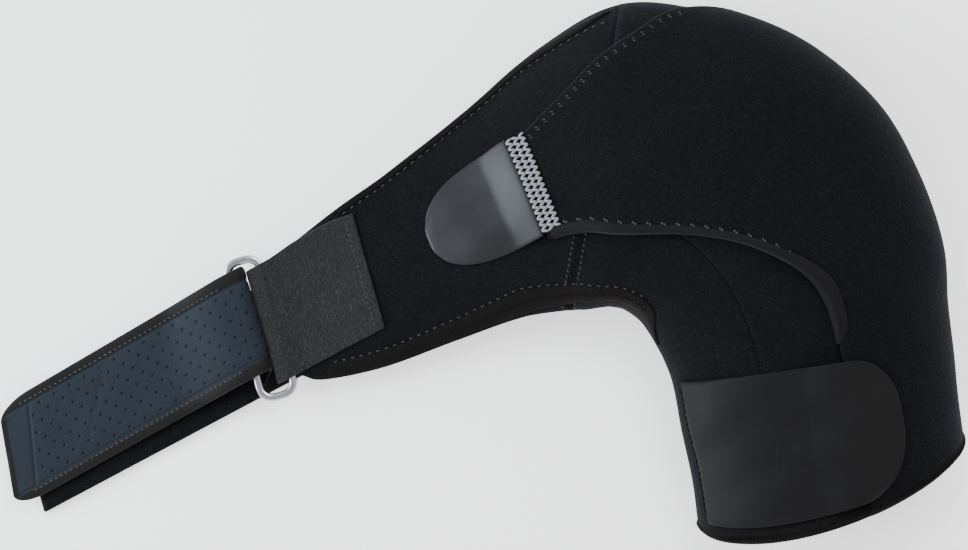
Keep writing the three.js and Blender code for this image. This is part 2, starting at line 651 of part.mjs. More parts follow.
addPanels();
addFlap();
addTapes();
addCuffHem();
addFlapTab();
addCuffTab();
addRing();
addKeeper();
addTorsoStrap();
addFreeEnd();
addPack();
addPocket();

export default wrap;
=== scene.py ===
"""Looks for a cold compression wrap for one shoulder, lying on its back.

The soft pieces repeat the solid model's formulas in millimetres, at a finer step, and are scaled to metres.
On the wrap, k runs along it from the cuff (0) to the strap (LAST_K), and an angle runs round it.
"""

import math

import bmesh
import bpy
import numpy as np
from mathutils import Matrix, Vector


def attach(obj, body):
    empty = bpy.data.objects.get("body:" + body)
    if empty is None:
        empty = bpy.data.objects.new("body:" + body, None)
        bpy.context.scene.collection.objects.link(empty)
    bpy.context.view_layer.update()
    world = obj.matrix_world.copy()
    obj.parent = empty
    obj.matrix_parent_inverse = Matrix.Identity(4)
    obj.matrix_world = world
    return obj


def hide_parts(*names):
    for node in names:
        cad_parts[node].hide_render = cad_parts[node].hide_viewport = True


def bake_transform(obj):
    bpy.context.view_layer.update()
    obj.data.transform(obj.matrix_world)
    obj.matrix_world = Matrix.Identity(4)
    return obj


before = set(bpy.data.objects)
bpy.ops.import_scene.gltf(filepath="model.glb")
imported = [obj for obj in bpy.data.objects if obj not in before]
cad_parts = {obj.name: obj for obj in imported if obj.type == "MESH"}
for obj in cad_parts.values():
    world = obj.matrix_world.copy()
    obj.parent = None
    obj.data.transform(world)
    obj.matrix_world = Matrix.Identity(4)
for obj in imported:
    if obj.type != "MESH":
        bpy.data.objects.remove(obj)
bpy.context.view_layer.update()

# ---- Dimensions of the solid model, in millimetres ----

FOAM = 3.5
PLY_GAP = 1.0
TAPE_GAP = 0.4
SEAM_K = 9
GUSSET_ANGLE = 113
CUFF_BOW = 22
BACK_BOW_SHARE = 0.3
ARMPIT_DENT = 8

# One row for each section k: the places of its inner and outer edge (x, y, x, y), the heights of the front
# sheet there, the depths of the back sheet there, how far its crown rises, and how sharply.
SECTIONS = np.array([
    (132.3, -146.8, 277.8, -95.3, 31, 31, 31, 31, 37, 1.0),
    (129.1, -122.8, 274.8, -72.8, 32, 32, 32, 32, 37, 1.0),
    (122.8, -93.8, 272.8, -49.8, 33, 33, 33, 33, 37, 1.0),
    (115.7, -59.8, 269.1, -18.8, 33, 34, 33, 34, 37, 1.0),
    (101.3, -31.8, 266.3, 15.2, 32, 35, 31, 35, 39, 1.0),
    (89.1, -20.4, 252.3, 55.7, 33, 36, 20, 36, 40, 1.0),
    (78.3, -17.3, 228.5, 96.2, 34, 36, 10, 36, 39, 1.0),
    (70.3, -17.8, 185.7, 131.7, 34, 34, 5, 34, 36, 1.0),
    (62.3, -19.0, 133.3, 151.2, 33, 31, 3.5, 31, 32, 1.0),
    (52.3, -19.6, 83.3, 155.7, 31, 26, 3.5, 24, 26, 1.1),
    (24.3, -25.1, 38.3, 132.2, 27, 20, 3.5, 11, 19, 1.5),
    (-14.7, -40.4, -8.7, 94.0, 22, 15, 3.5, 3.5, 12, 1.9),
    (-56.7, -56.4, -53.7, 59.8, 17, 13.5, 3.5, 3.5, 6, 2.0),
    (-92.7, -64.2, -87.7, 36.2, 13.5, 12.6, 3.5, 3.5, 1.5, 2.0),
    (-106.3, -61.8, -125.7, 6.2, 12.2, 12.2, 3.5, 3.5, 0, 2.0),
])
LAST_K = len(SECTIONS) - 1

RING_CENTRE = (-130, -33.3)
RING_TURN = math.radians(16)
STRAP_SKEW = math.tan(math.radians(12))
RING_HEIGHT = 13.95
RING_HALF_LENGTH = 44.5
RING_CORNER = 8
KEEPER_BAR_N = 9
STRAP_BAR_N = -11.5
BAR_HALF_WIDTH = 2.5
BAR_HALF_HEIGHT = 2
WEBBING = 1.6
KEEPER_LENGTH = 71
KEEPER_HALF_WIDTH = 35
STRAP = 2.8
STRAP_HALF_WIDTH = 30.5
FREE_END_HALF_WIDTH = (32, 30.2)
LOOP_HALF_HEIGHT = 5.8
LOOP_REACH = 9.3
FOLD_REACH = 8.6
STRAP_FOLD_N = -155.5
FREE_END_N = -168.6
FREE_END_HEIGHT = 9.4
FREE_END_ROOT_N = -18
UPPER_SHIFT = (7.4, 2.6)
LOWER_SHIFT = -6.8

TAB_ROOT = np.array((29.6, 49.5))
TAB_ACROSS = np.array((0.384, -0.924))
TAB_ALONG = np.array((-0.924, -0.384))
TAB_LENGTH = 67
TAB_HALF_WIDTH = 29
TAB_LEAN = 0.1
TAB_THICKNESS = 1.6

CUFF_TAB_MID_K = (1.5, 1.28)
CUFF_TAB_HALF_K = (1.34, 1.22)
CUFF_TAB_ROOT_ANGLE = 160
CUFF_TAB_THICKNESS = 1.8

PACK_CENTRE = (180.3, 13.2)
ARM_ALONG = (-0.183, 0.983)
ARM_ACROSS = (0.983, 0.183)
PACK_HALF_LENGTH = 52
PACK_HALF_WIDTH = 42
PACK_BOTTOM = 4.7
PACK_DEPTH = 9.4
PACK_FILM = 0.6
POCKET_TOP = 16
POCKET_WALL = 8  # how far out each of the pocket's sloping walls runs

FLAP_INSIDE = FOAM + PLY_GAP
FLAP_OUTSIDE = FLAP_INSIDE + FOAM
FLAP_FRONT_END_K = 9.6
FLAP_BACK_END_K = 10.3
LOOP_TOP = RING_HEIGHT + LOOP_HALF_HEIGHT
LOOP_BOTTOM = RING_HEIGHT - LOOP_HALF_HEIGHT

# ---- Details that only the looks have, in millimetres ----

FLAP_LIFT = 1.6  # how far the flap's front edge stands off the sleeve
HOLE_PITCH = 10.2  # the strap's holes sit on two such square grids, half a step apart
HOLE_RADIUS = 0.95
STRAP_BORDER_W = 22.5  # from the strap's middle line to its border
TIP_SEAM = 17  # from the strap's tip to its cross seam
FREE_LENGTH = 188.1  # of the strap from under the ring to the tip
TAB_SETBACK = 0.8  # the flap tab starts this far from the flap's edge
SEAM_OVERLAP_K = 0.004  # the panels run into each other by this much at their seams
SEAM_OVERLAP_ANGLE = 0.1
TIP_ROUND = 20  # the strap's tip is rounded over this length
TIP_NARROWING = 9  # and its half width shrinks by this much
TIP_SLANT = 0.11
LOOP_END_N = -14.5  # where the strap leaves its loop round the ring
STITCH_HUMP = 0.3  # how far a stitch's middle rises
ZIGZAG_COLUMNS = 3
ZIGZAG_COLUMN_S = 3.9  # the width of a column
ZIGZAG_START_S = -10.9
ZIGZAG_ROWS = 16
RIB_PITCH = 1.55  # of the keeper's webbing

# ---- Picture and node constants ----

FLOOR_REACH = 6000  # millimetres each way
FLOOR_Z = -0.2
CAMERA_HEIGHT = 2.5  # metres above the table, looking straight down
CAMERA_SPOT = (0.0023, -0.0018)  # metres
VIEW_WIDTH = 0.581  # metres of table across the picture
SENSOR_WIDTH = 36
COLOUR_MIX_SOCKETS = (0, 6, 7)  # the factor and the two colours of a colour mix
COLOUR_MIX_RESULT = 2
MM = 0.001
WELD = 2e-6  # metres
SHORTEST_EDGE = 1e-7  # metres

# ---- The surface of the wrap ----


def lerp(a, b, share):
    return a + (b - a) * share


def smoothstep(x, low, high):
    t = np.clip((np.asarray(x, float) - low) / (high - low), 0, 1)
    return t * t * (3 - 2 * t)


def through(points):
    """A smooth curve through (x, y) points, as a function of x, straight beyond its ends."""
    xs = np.array([p[0] for p in points], float)
    ys = np.array([p[1] for p in points], float)
    last = len(xs) - 1
    before = np.maximum(np.arange(last + 1) - 1, 0)
    after = np.minimum(np.arange(last + 1) + 1, last)
    slope = (ys[after] - ys[before]) / (xs[after] - xs[before])

    def curve(x):
        x = np.asarray(x, float)
        i = np.clip(np.searchsorted(xs, x, side="left") - 1, 0, last - 1)
        width = xs[i + 1] - xs[i]
        t = (x - xs[i]) / width
        y = (
            (2 * t**3 - 3 * t**2 + 1) * ys[i] + (t**3 - 2 * t**2 + t) * width * slope[i]
            + (3 * t**2 - 2 * t**3) * ys[i + 1] + (t**3 - t**2) * width * slope[i + 1]
        )
        y = np.where(x <= xs[0], ys[0] + slope[0] * (x - xs[0]), y)
        return np.where(x >= xs[last], ys[last] + slope[last] * (x - xs[last]), y)

    return curve


SECTION_CURVES = [through(list(enumerate(SECTIONS[:, column]))) for column in range(SECTIONS.shape[1])]


def skin(k, angle):
    """The inside surface at section k; the angle is 0 at the outer edge, 90 on the front, 270 on the back."""
    k, angle = np.broadcast_arrays(np.asarray(k, float), np.asarray(angle, float))
    turn = np.radians(angle)
    side = np.cos(turn)
    up = np.sin(turn)
    rise = np.abs(up)
    in_x, in_y, out_x, out_y, front_in, front_out, back_in, back_out, crown, roll = (
        curve(k) for curve in SECTION_CURVES)
    share = (1 + side) / 2
    across_x, across_y = out_x - in_x, out_y - in_y
    length = np.hypot(across_x, across_y)
    front = up >= 0
    bow = CUFF_BOW * np.maximum(0, 1 - k / 3) ** 2 * rise * np.where(front, 1, BACK_BOW_SHARE)
    x = lerp(in_x, out_x, share) + across_y / length * bow
    y = lerp(in_y, out_y, share) - across_x / length * bow
    dent = ARMPIT_DENT * np.exp(-(((k - 5.4) / 2.2) ** 2) - ((side + 0.6) / 0.35) ** 2) * rise
    z_front = lerp(front_in, front_out, share) + crown * rise**roll - dent
    edge = np.maximum(lerp(back_in, back_out, share), FOAM)
    z_back = edge - (edge - FOAM) * (1 - (1 - rise) ** 3)
    return np.stack((x, y, np.where(front, z_front, z_back)), -1)


def unit(v):
    return v / np.maximum(np.linalg.norm(v, axis=-1, keepdims=True), 1e-9)


def shell_normal(k, angle):
    """The way out of the surface, taken a little away from its creases at 0 and 180 degrees."""
    k, angle = np.broadcast_arrays(np.asarray(k, float), np.asarray(angle, float))
    margin = 2
    within = np.mod(angle, 360)
    sample = np.where(within <= 180, np.clip(within, margin, 180 - margin),
                      np.clip(within, 180 + margin, 360 - margin))
    along_k = skin(k + 0.02, sample) - skin(k - 0.02, sample)
    along_angle = skin(k, sample + 1) - skin(k, sample - 1)
    return unit(np.cross(along_k, along_angle))


def shell(k, angle, distance):
    return skin(k, angle) + shell_normal(k, angle) * np.asarray(distance, float)[..., None]


def ripple(k, angle):
    """Low swells of a lying fabric, in millimetres, on the front only; every layer follows the same ones."""
    at = skin(k, angle)
    x, y = at[..., 0], at[..., 1]
    swell = (
        0.34 * np.sin(0.062 * x + 0.041 * y + 1.0) + 0.28 * np.sin(0.045 * x - 0.083 * y + 2.1)
        + 0.2 * np.sin(0.118 * x + 0.094 * y + 0.4) + 0.14 * np.sin(0.15 * x - 0.17 * y + 4.0)
    )
    return swell * smoothstep(np.sin(np.radians(angle)), 0.0, 0.35) * smoothstep(x, -125, -85)


def cloth(k, angle, distance):
    """The shell with the fabric's swells, which every layer on it shares."""
    k, angle, distance = np.broadcast_arrays(
        np.asarray(k, float), np.asarray(angle, float), np.asarray(distance, float))
    return shell(k, angle, distance + ripple(k, angle))


def squared_circle(turn, power):
    """A circle's two coordinates, swelled towards a square by a power below 1."""
    return tuple(np.sign(part) * np.abs(part) ** power for part in (np.cos(turn), np.sin(turn)))


def further(k, angle, millimetres):
    """The angle that is so many millimetres further round section k."""
    span = np.linalg.norm(skin(k, angle + 1) - skin(k, angle - 1), axis=-1) / 2
    return angle + millimetres / np.maximum(span, 0.4)


def locate(x, y, start_k):
    """The section and the angle of the front sheet above places on the table."""
    x, y = np.broadcast_arrays(np.asarray(x, float), np.asarray(y, float))
    k = np.full(x.shape, float(start_k))
    angle = np.full(x.shape, 90.0)
    for _ in range(14):
        here = skin(k, angle)
        by_k = (skin(k + 0.01, angle) - here) / 0.01
        by_angle = (skin(k, angle + 0.1) - here) / 0.1
        miss_x = x - here[..., 0]
        miss_y = y - here[..., 1]
        scale = by_k[..., 0] * by_angle[..., 1] - by_k[..., 1] * by_angle[..., 0]
        k = k + (miss_x * by_angle[..., 1] - miss_y * by_angle[..., 0]) / scale
        angle = np.clip(angle + (by_k[..., 0] * miss_y - by_k[..., 1] * miss_x) / scale, 3, 177)
    return k, angle


def ring_place(n, w, z):
    """n runs from the ring towards the wrap, w across the strap, both in the ring's own plan axes."""
    n, w, z = np.broadcast_arrays(np.asarray(n, float), np.asarray(w, float), np.asarray(z, float))
    c, s = math.cos(RING_TURN), math.sin(RING_TURN)
    return np.stack((RING_CENTRE[0] + n * c - w * s, RING_CENTRE[1] + n * s + w * c, z), -1)


def strap_place(n, w, z):
    """The same axes, skewed the way the strap and the keeper run through the ring."""
    return ring_place(n, w + np.asarray(n, float) * STRAP_SKEW, z)


# ---- Materials ----


def plug(tree, socket, value):
    """Links an output to the socket, or sets the socket's own value."""
    if isinstance(value, bpy.types.NodeSocket):
        tree.links.new(value, socket)
    else:
        socket.default_value = value


def new_material(name):
    """A material, its node tree, its shader and the object's own coordinates."""
    material = bpy.data.materials.new(name)
    material.use_nodes = True
    tree = material.node_tree
    place = tree.nodes.new("ShaderNodeTexCoord").outputs["Object"]
    return material, tree, tree.nodes["Principled BSDF"], place


def node(tree, kind, settings=(), **inputs):
    """A new node; each input is linked or set by its name, with _ for a space."""
    made = tree.nodes.new(kind)
    for key, value in dict(settings).items():
        setattr(made, key, value)
    for key, value in inputs.items():
        plug(tree, made.inputs[key.replace("_", " ")], value)
    return made


def noise(tree, place, scale, detail=3.0, rough=0.55, distortion=0.0):
    return node(tree, "ShaderNodeTexNoise", Vector=place, Scale=scale, Detail=detail, Roughness=rough,
                Distortion=distortion).outputs["Fac"]


def stretched(tree, place, scale, turn=0.0):
    """Coordinates scaled differently each way, for grain and scratches."""
    return node(tree, "ShaderNodeMapping", Vector=place, Scale=scale, Rotation=(0, 0, turn)).outputs["Vector"]


def scaled(colour, factor):
    return tuple(factor * c for c in colour)


def grey(tone):
    return (tone, tone, tone)


def ramp(tree, value, stops):
    made = node(tree, "ShaderNodeValToRGB", Fac=value)
    elements = made.color_ramp.elements
    while len(elements) < len(stops):
        elements.new(0.5)
    for element, (position, colour) in zip(elements, stops):
        element.position = position
        element.color = (*colour, 1)
    return made.outputs["Color"]


def mix(tree, share, a, b, blend="MIX"):
    made = node(tree, "ShaderNodeMix", {"data_type": "RGBA", "blend_type": blend})
    for index, value in zip(COLOUR_MIX_SOCKETS, (share, a, b)):
        plug(tree, made.inputs[index], (*value, 1) if isinstance(value, tuple) else value)
    return made.outputs[COLOUR_MIX_RESULT]


def maths(tree, operation, a, b=0.0):
    made = node(tree, "ShaderNodeMath", {"operation": operation})
    plug(tree, made.inputs[0], a)
    plug(tree, made.inputs[1], b)
    return made.outputs[0]


def varied(tree, value, low, high):
    """A value from 0 to 1 carried over to a range."""
    return node(tree, "ShaderNodeMapRange", Value=value, To_Min=low, To_Max=high).outputs["Result"]


def surface(tree, shader, colour, roughness, bumps, **others):
    """Sets the shader's inputs by name, and stacks bumps, each (height, strength, distance in metres)."""
    for key, value in {"Base_Color": colour, "Roughness": roughness, **others}.items():
        plug(tree, shader.inputs[key.replace("_", " ")], value)
    normal = None
    for height, strength, distance in bumps:
        made = node(tree, "ShaderNodeBump", Height=height, Strength=strength, Distance=distance)
        if normal is not None:
            tree.links.new(normal, made.inputs["Normal"])
        normal = made.outputs["Normal"]
    tree.links.new(normal, shader.inputs["Normal"])


def fabric(name, dark, light, nap, sheen, rough):
    """A napped loop fabric: short tangled fibres that catch the light in specks."""
    material, tree, shader, place = new_material(name)
    fibres = noise(tree, place, nap, 4.0, 0.65, 0.6)
    clumps = noise(tree, place, nap * 0.32, 3.0, 0.6, 0.3)
    wear = noise(tree, place, 17.0, 3.0, 0.5)
    # the specks vary at random over the nap; their brightest stop is painted glints of light on the fibres
    speck = ramp(tree, fibres, [(0.42, dark), (0.62, light), (0.78, scaled(light, 4.2))])
    patch = ramp(tree, clumps, [(0.3, grey(0.62)), (0.7, grey(1.0))])
    broad = ramp(tree, wear, [(0.3, grey(0.8)), (0.72, grey(1.0))])
    colour = mix(tree, 1.0, mix(tree, 1.0, speck, patch, "MULTIPLY"), broad, "MULTIPLY")
    surface(tree, shader, colour, rough, [(clumps, 0.55, 0.0008), (fibres, 0.7, 0.0005)],
            Specular_IOR_Level=0.07, Sheen_Weight=sheen, Sheen_Roughness=0.55,
            Sheen_Tint=(0.55, 0.62, 0.8, 1))
    return material


def diagonal(tree, place, scale, distortion, detail=2.0):
    return node(tree, "ShaderNodeTexWave", {"bands_direction": "DIAGONAL"}, Vector=place, Scale=scale,
                Distortion=distortion, Detail=detail).outputs["Fac"]


def two_tone(name, patterns, dark, light, rough, bumps, **others):
    """Runs from dark to light with its first pattern, each (maker, settings); bumps say which pattern, how
    strong and how deep in metres."""
    material, tree, shader, place = new_material(name)
    made = [maker(tree, place, *settings) for maker, settings in patterns]
    surface(tree, shader, mix(tree, made[0], dark, light), rough,
            [(made[which], strength, distance) for which, strength, distance in bumps], **others)
    return material


def make_thread(name, dark, light):
    return two_tone(name, [(diagonal, (900.0, 1.5))], dark, light, 0.55, [(0, 0.4, 0.00012)],
                    Sheen_Weight=0.2)


def make_hook_plastic(name, colour, rough, shine):
    """Moulded sheet, a little cloudy, with fine scratches two ways."""
    material, tree, shader, place = new_material(name)
    cloudy = noise(tree, place, 60.0, 4.0, 0.6)
    scratches = [noise(tree, stretched(tree, place, scale, turn), 1.0, 2.0, 0.5)
                 for scale, turn in (((900, 30, 300), 0.5), ((40, 1100, 300), -0.35))]
    marks = ramp(tree, maths(tree, "MAXIMUM", *scratches), [(0.66, grey(0)), (0.74, grey(1))])
    base = mix(tree, cloudy, scaled(colour, 0.8), scaled(colour, 1.2))
    tone = mix(tree, maths(tree, "MULTIPLY", marks, 0.35), base, scaled(colour, 2.1))
    moulded = noise(tree, place, 900.0, 2.0, 0.5)
    surface(tree, shader, tone, varied(tree, cloudy, rough - 0.07, rough + 0.1),
            [(cloudy, 0.25, 0.0004), (moulded, 0.2, 0.00008), (marks, 0.25, 0.00005)],
            Specular_IOR_Level=shine)
    return material


def make_slate_skin():
    """The strap's smooth face with its staggered holes, laid out along and across the strap by its UVs."""
    material, tree, shader, place = new_material("perforated_foam")
    uv = node(tree, "ShaderNodeUVMap", {"uv_map": "cloth"}).outputs["UV"]
    split = node(tree, "ShaderNodeSeparateXYZ", Vector=uv)
    along, across = split.outputs["X"], split.outputs["Y"]
    from_middle = maths(tree, "ABSOLUTE", across)

    def near_hole(shift):
        gaps = []
        for value in (along, across):
            cell = maths(tree, "FRACT", maths(tree, "ADD", maths(tree, "DIVIDE", value, HOLE_PITCH), shift))
            gaps.append(maths(tree, "SUBTRACT", cell, 0.5))
        squares = [maths(tree, "MULTIPLY", gap, gap) for gap in gaps]
        return maths(tree, "SQRT", maths(tree, "ADD", *squares))

    distance = maths(tree, "MINIMUM", near_hole(0.5), near_hole(0.0))
    pit = ramp(tree, maths(tree, "MULTIPLY", distance, HOLE_PITCH / HOLE_RADIUS / 2),
               [(0.36, grey(0)), (0.52, grey(1))])
    field = maths(tree, "LESS_THAN", from_middle, STRAP_BORDER_W)
    before_tip = maths(tree, "LESS_THAN", along, FREE_LENGTH - TIP_SEAM)
    holed = maths(tree, "MULTIPLY", field, before_tip)
    hole = maths(tree, "MULTIPLY", maths(tree, "SUBTRACT", 1.0, pit), holed)
    cloudy = noise(tree, place, 38.0, 3.0, 0.55)
    grain = noise(tree, place, 1500.0, 3.0, 0.6)
    body = mix(tree, cloudy, (0.0066, 0.0098, 0.0155), (0.0116, 0.0166, 0.0252))
    body = mix(tree, maths(tree, "MULTIPLY", grain, 0.4), body, (0.0156, 0.0212, 0.0300))
    # the black edging starts just outside the border's stitches, at the sides and round the tip
    past_tip = maths(tree, "ADD", maths(tree, "SUBTRACT", along, FREE_LENGTH), STRAP_BORDER_W + 4.5)
    edging = node(tree, "ShaderNodeMapRange", {"interpolation_type": "SMOOTHSTEP"},
                  Value=maths(tree, "MAXIMUM", from_middle, past_tip),
                  From_Min=STRAP_BORDER_W + 1.3, From_Max=STRAP_BORDER_W + 2.5)
    rim = mix(tree, grain, (0.0022, 0.0021, 0.0023), (0.0095, 0.0090, 0.0092))
    body = mix(tree, edging.outputs["Result"], body, rim)
    # the holes are painted near-black, as painted shade inside each hole
    colour = mix(tree, maths(tree, "SUBTRACT", 1.0, hole), (0.0012, 0.0016, 0.0022), body)
    surface(tree, shader, colour, 0.6, [(cloudy, 0.3, 0.0006), (grain, 0.5, 0.00015)],
            Specular_IOR_Level=0.13, Sheen_Weight=0.04)
    return material


def make_webbing():
    material, tree, shader, place = new_material("ribbed_webbing")
    fuzz = noise(tree, place, 750.0, 4.0, 0.7, 0.8)
    fibres = noise(tree, place, 1900.0, 2.0, 0.6)
    stops = ((0.3, 0.0032), (0.52, 0.0120), (0.75, 0.040))
    colour = ramp(tree, fuzz, [(at, scaled((1.0, 1.0, 1.12), tone)) for at, tone in stops])
    surface(tree, shader, colour, 0.8, [(fuzz, 0.4, 0.0004), (fibres, 0.5, 0.0002)],
            Specular_IOR_Level=0.15, Sheen_Weight=0.12, Sheen_Tint=(0.8, 0.82, 0.9, 1))
    return material


def make_metal():
    material, tree, shader, place = new_material("plated_metal")
    cloudy = noise(tree, place, 90.0, 4.0, 0.6)
    brush = noise(tree, stretched(tree, place, (500, 500, 2600)), 1.0, 2.0, 0.5)
    surface(tree, shader, mix(tree, cloudy, (0.40, 0.42, 0.45), (0.56, 0.58, 0.62)),
            varied(tree, cloudy, 0.16, 0.32), [(brush, 0.12, 0.00006)], Metallic=1.0)
    return material


def make_mesh_lining():
    material, tree, shader, place = new_material("lining_mesh")
    cells = node(tree, "ShaderNodeTexVoronoi", {"feature": "DISTANCE_TO_EDGE"}, Vector=place,
                 Scale=480.0).outputs["Distance"]
    knit = ramp(tree, cells, [(0.08, (0.05, 0.052, 0.058)), (0.3, (0.008, 0.008, 0.010))])
    surface(tree, shader, knit, 0.85, [(cells, -0.6, 0.0005)], Sheen_Weight=0.15)
    return material


LOOP_FABRIC = fabric(
    "loop_fabric", (0.0018, 0.0018, 0.0022), (0.0088, 0.0085, 0.0100), 1150, 0.06, 0.92)
# a darker, duller copy of the loop fabric: painted shade for the gaps between the flap tab's stitches
STITCH_GAP_SHADE = fabric("stitch_gap_shade", (0.002, 0.002, 0.0022), (0.005, 0.005, 0.0055), 900, 0.03, 0.85)
BINDING = two_tone(
    "binding_fabric", [(noise, (1300.0, 3.0, 0.6)), (diagonal, (330.0, 2.2))],
    (0.0016, 0.0013, 0.0013), (0.0075, 0.0062, 0.0060), 0.8, [(1, 0.35, 0.0003), (0, 0.5, 0.0003)],
    Specular_IOR_Level=0.07, Sheen_Weight=0.05, Sheen_Tint=(0.8, 0.7, 0.68, 1))
# the flap's rolled hem is the fabric pulled smooth; its colour is a little lighter than its nap, as painted
# sheen of the smooth roll
HEM_ROLL = two_tone(
    "hem_roll", [(noise, (1500.0, 3.0, 0.6)), (noise, (120.0, 2.0, 0.5))],
    (0.0018, 0.0017, 0.0019), (0.0078, 0.0074, 0.0080), 0.62, [(1, 0.4, 0.0009), (0, 0.4, 0.00025)],
    Specular_IOR_Level=0.09, Sheen_Weight=0.06, Sheen_Tint=(0.8, 0.8, 0.88, 1))
HOOK_PLASTIC = make_hook_plastic("hook_plastic", (0.0090, 0.0094, 0.0112), 0.4, 0.28)
HOOK_PLASTIC_CUFF = make_hook_plastic("hook_plastic_cuff", (0.0056, 0.0054, 0.0058), 0.5, 0.13)
THREAD_LIGHT = make_thread("stitch_thread", (0.13, 0.135, 0.155), (0.30, 0.31, 0.34))
THREAD_GREY = make_thread("stitch_thread_grey", (0.018, 0.018, 0.020), (0.058, 0.058, 0.064))
THREAD_DARK = make_thread("stitch_thread_dark", (0.0042, 0.0039, 0.0040), (0.0155, 0.0145, 0.0142))
WEBBING_FABRIC = make_webbing()
METAL = make_metal()
LINING = make_mesh_lining()
FILM = two_tone(
    "pack_film", [(noise, (55.0, 4.0, 0.6, 1.5))], (0.30, 0.46, 0.60), (0.52, 0.66, 0.76), 0.22,
    [(0, 0.6, 0.0018)], Specular_IOR_Level=0.5)
GEL = two_tone(
    "gel", [(noise, (40.0, 4.0, 0.6, 1.0))], (0.05, 0.20, 0.45), (0.12, 0.38, 0.66), 0.18,
    [(0, 0.4, 0.001)], Subsurface_Weight=0.25)
SLATE_SKIN = make_slate_skin()

# ---- Mesh builders ----


def mesh_object(name, points, faces, materials, indices=None, uv=None):
    """A smooth mesh from points in millimetres."""
    mesh = bpy.data.meshes.new(name)
    points = np.asarray(points, float) * MM
    mesh.from_pydata(points.tolist(), [], faces if isinstance(faces, list) else faces.tolist())
    for material in materials:
        mesh.materials.append(material)
    if indices is not None:
        mesh.polygons.foreach_set("material_index", np.asarray(indices, np.int32))
    if uv is not None:
        layer = mesh.uv_layers.new(name="cloth")
        loops = np.zeros(len(mesh.loops), np.int32)
        mesh.loops.foreach_get("vertex_index", loops)
        layer.data.foreach_set("uv", np.asarray(uv, np.float32)[loops].ravel())
    mesh.polygons.foreach_set("use_smooth", np.ones(len(mesh.polygons), bool))
    made = bpy.data.objects.new(name + "_look", mesh)
    bpy.context.scene.collection.objects.link(made)
    return made


def close_up(made, weld=True):
    """Turns every face outwards, after welding doubled points."""
    work = bmesh.new()
    work.from_mesh(made.data)
    if weld:
        bmesh.ops.remove_doubles(work, verts=work.verts, dist=WELD)
        bmesh.ops.dissolve_degenerate(work, edges=work.edges, dist=SHORTEST_EDGE)
    bmesh.ops.recalc_face_normals(work, faces=work.faces)
    if work.calc_volume(signed=True) < 0:
        bmesh.ops.reverse_faces(work, faces=work.faces)
    work.to_mesh(made.data)
    work.free()
    made.data.update()
    return made


def tube_faces(rows, columns, closed_rows=False):
    """Quads of a grid that joins up with itself along its columns."""
    i = np.arange(rows if closed_rows else rows - 1)[:, None]
    j = np.arange(columns)[None, :]
    after = (i + 1) % rows
    side = (j + 1) % columns
    corners = (i * columns + j, after * columns + j, after * columns + side, i * columns + side)
    return np.stack(corners, -1).reshape(-1, 4)


def ply(name, place, thickness, columns, rows, materials, uv=None, roll=None, end_roll=None, cap=3):
    """A closed sheet with rounded rims. place(u, v, d) gives the point d millimetres above the sheet's
    middle; u and v run from 0 to 1. materials are the upper face's, and the lower face's if it differs."""
    roll = thickness / 2 if roll is None else roll
    end_roll = roll if end_roll is None else end_roll
    step = 1e-3
    middle = np.linspace(0, 1, rows + 1)

    def span(u, v, du, dv):
        gap = place(u + du, v + dv, 0 * u) - place(u - du, v - dv, 0 * u)
        return np.linalg.norm(gap, axis=-1) / (2 * (du + dv))

    # the cross loops: how much of each end's inset they take, where they are between the insets, how thick
    start = np.clip(end_roll / span(0 * middle + step, middle, step, 0), 0, 0.3)
    stop = np.clip(end_roll / span(0 * middle + 1 - step, middle, step, 0), 0, 0.3)
    turn = np.linspace(0, math.pi / 2, cap + 1)[:-1]
    whole = np.ones(columns + 1)
    at_start = np.concatenate((1 - np.cos(turn), whole, np.ones(cap)))[:, None]
    between = np.concatenate((np.zeros(cap), np.linspace(0, 1, columns + 1), np.ones(cap)))[:, None]
    at_stop = np.concatenate((np.ones(cap), whole, 1 - np.cos(turn[::-1])))[:, None]
    thick = np.concatenate((np.sin(turn), whole, np.sin(turn[::-1])))[:, None]

    def along(v):
        return lerp(np.interp(v, middle, start) * at_start, 1 - np.interp(v, middle, stop) * at_stop, between)

    near_u, far_u = along(np.zeros((1, 1))), along(np.ones((1, 1)))
    near = np.clip(roll * thick / np.maximum(span(near_u, 0 * near_u + step, 0, step), 1e-6), 0, 0.3)
    far = np.clip(roll * thick / np.maximum(span(far_u, 0 * far_u + 1 - step, 0, step), 1e-6), 0, 0.3)
    arc_turn = turn[1:]
    bend = np.concatenate((arc_turn[::-1], [0.0], -arc_turn))[None]
    face = lerp(near, 1 - far, middle[None])
    v = np.concatenate((face, 1 - far * (1 - np.cos(bend)), face[:, ::-1], near * (1 - np.cos(bend))), 1)
    flat = np.ones((1, rows + 1))
    d = np.concatenate((flat, np.sin(bend), -flat, -np.sin(bend)), 1) * thick * thickness / 2
    u = along(v)
    points = place(u, v, d)
    loops, count = u.shape
    faces = tube_faces(loops, count)
    number = np.arange(count)
    lower = (number >= rows + cap) & (number < 2 * rows + 3 * cap)
    indices = np.tile(lower, loops - 1).astype(np.int32) if len(materials) > 1 else None
    layer = uv(u, v) if uv else np.stack((u, v), -1)
    return close_up(mesh_object(name, points.reshape(-1, 3), faces, materials, indices, layer.reshape(-1, 2)))


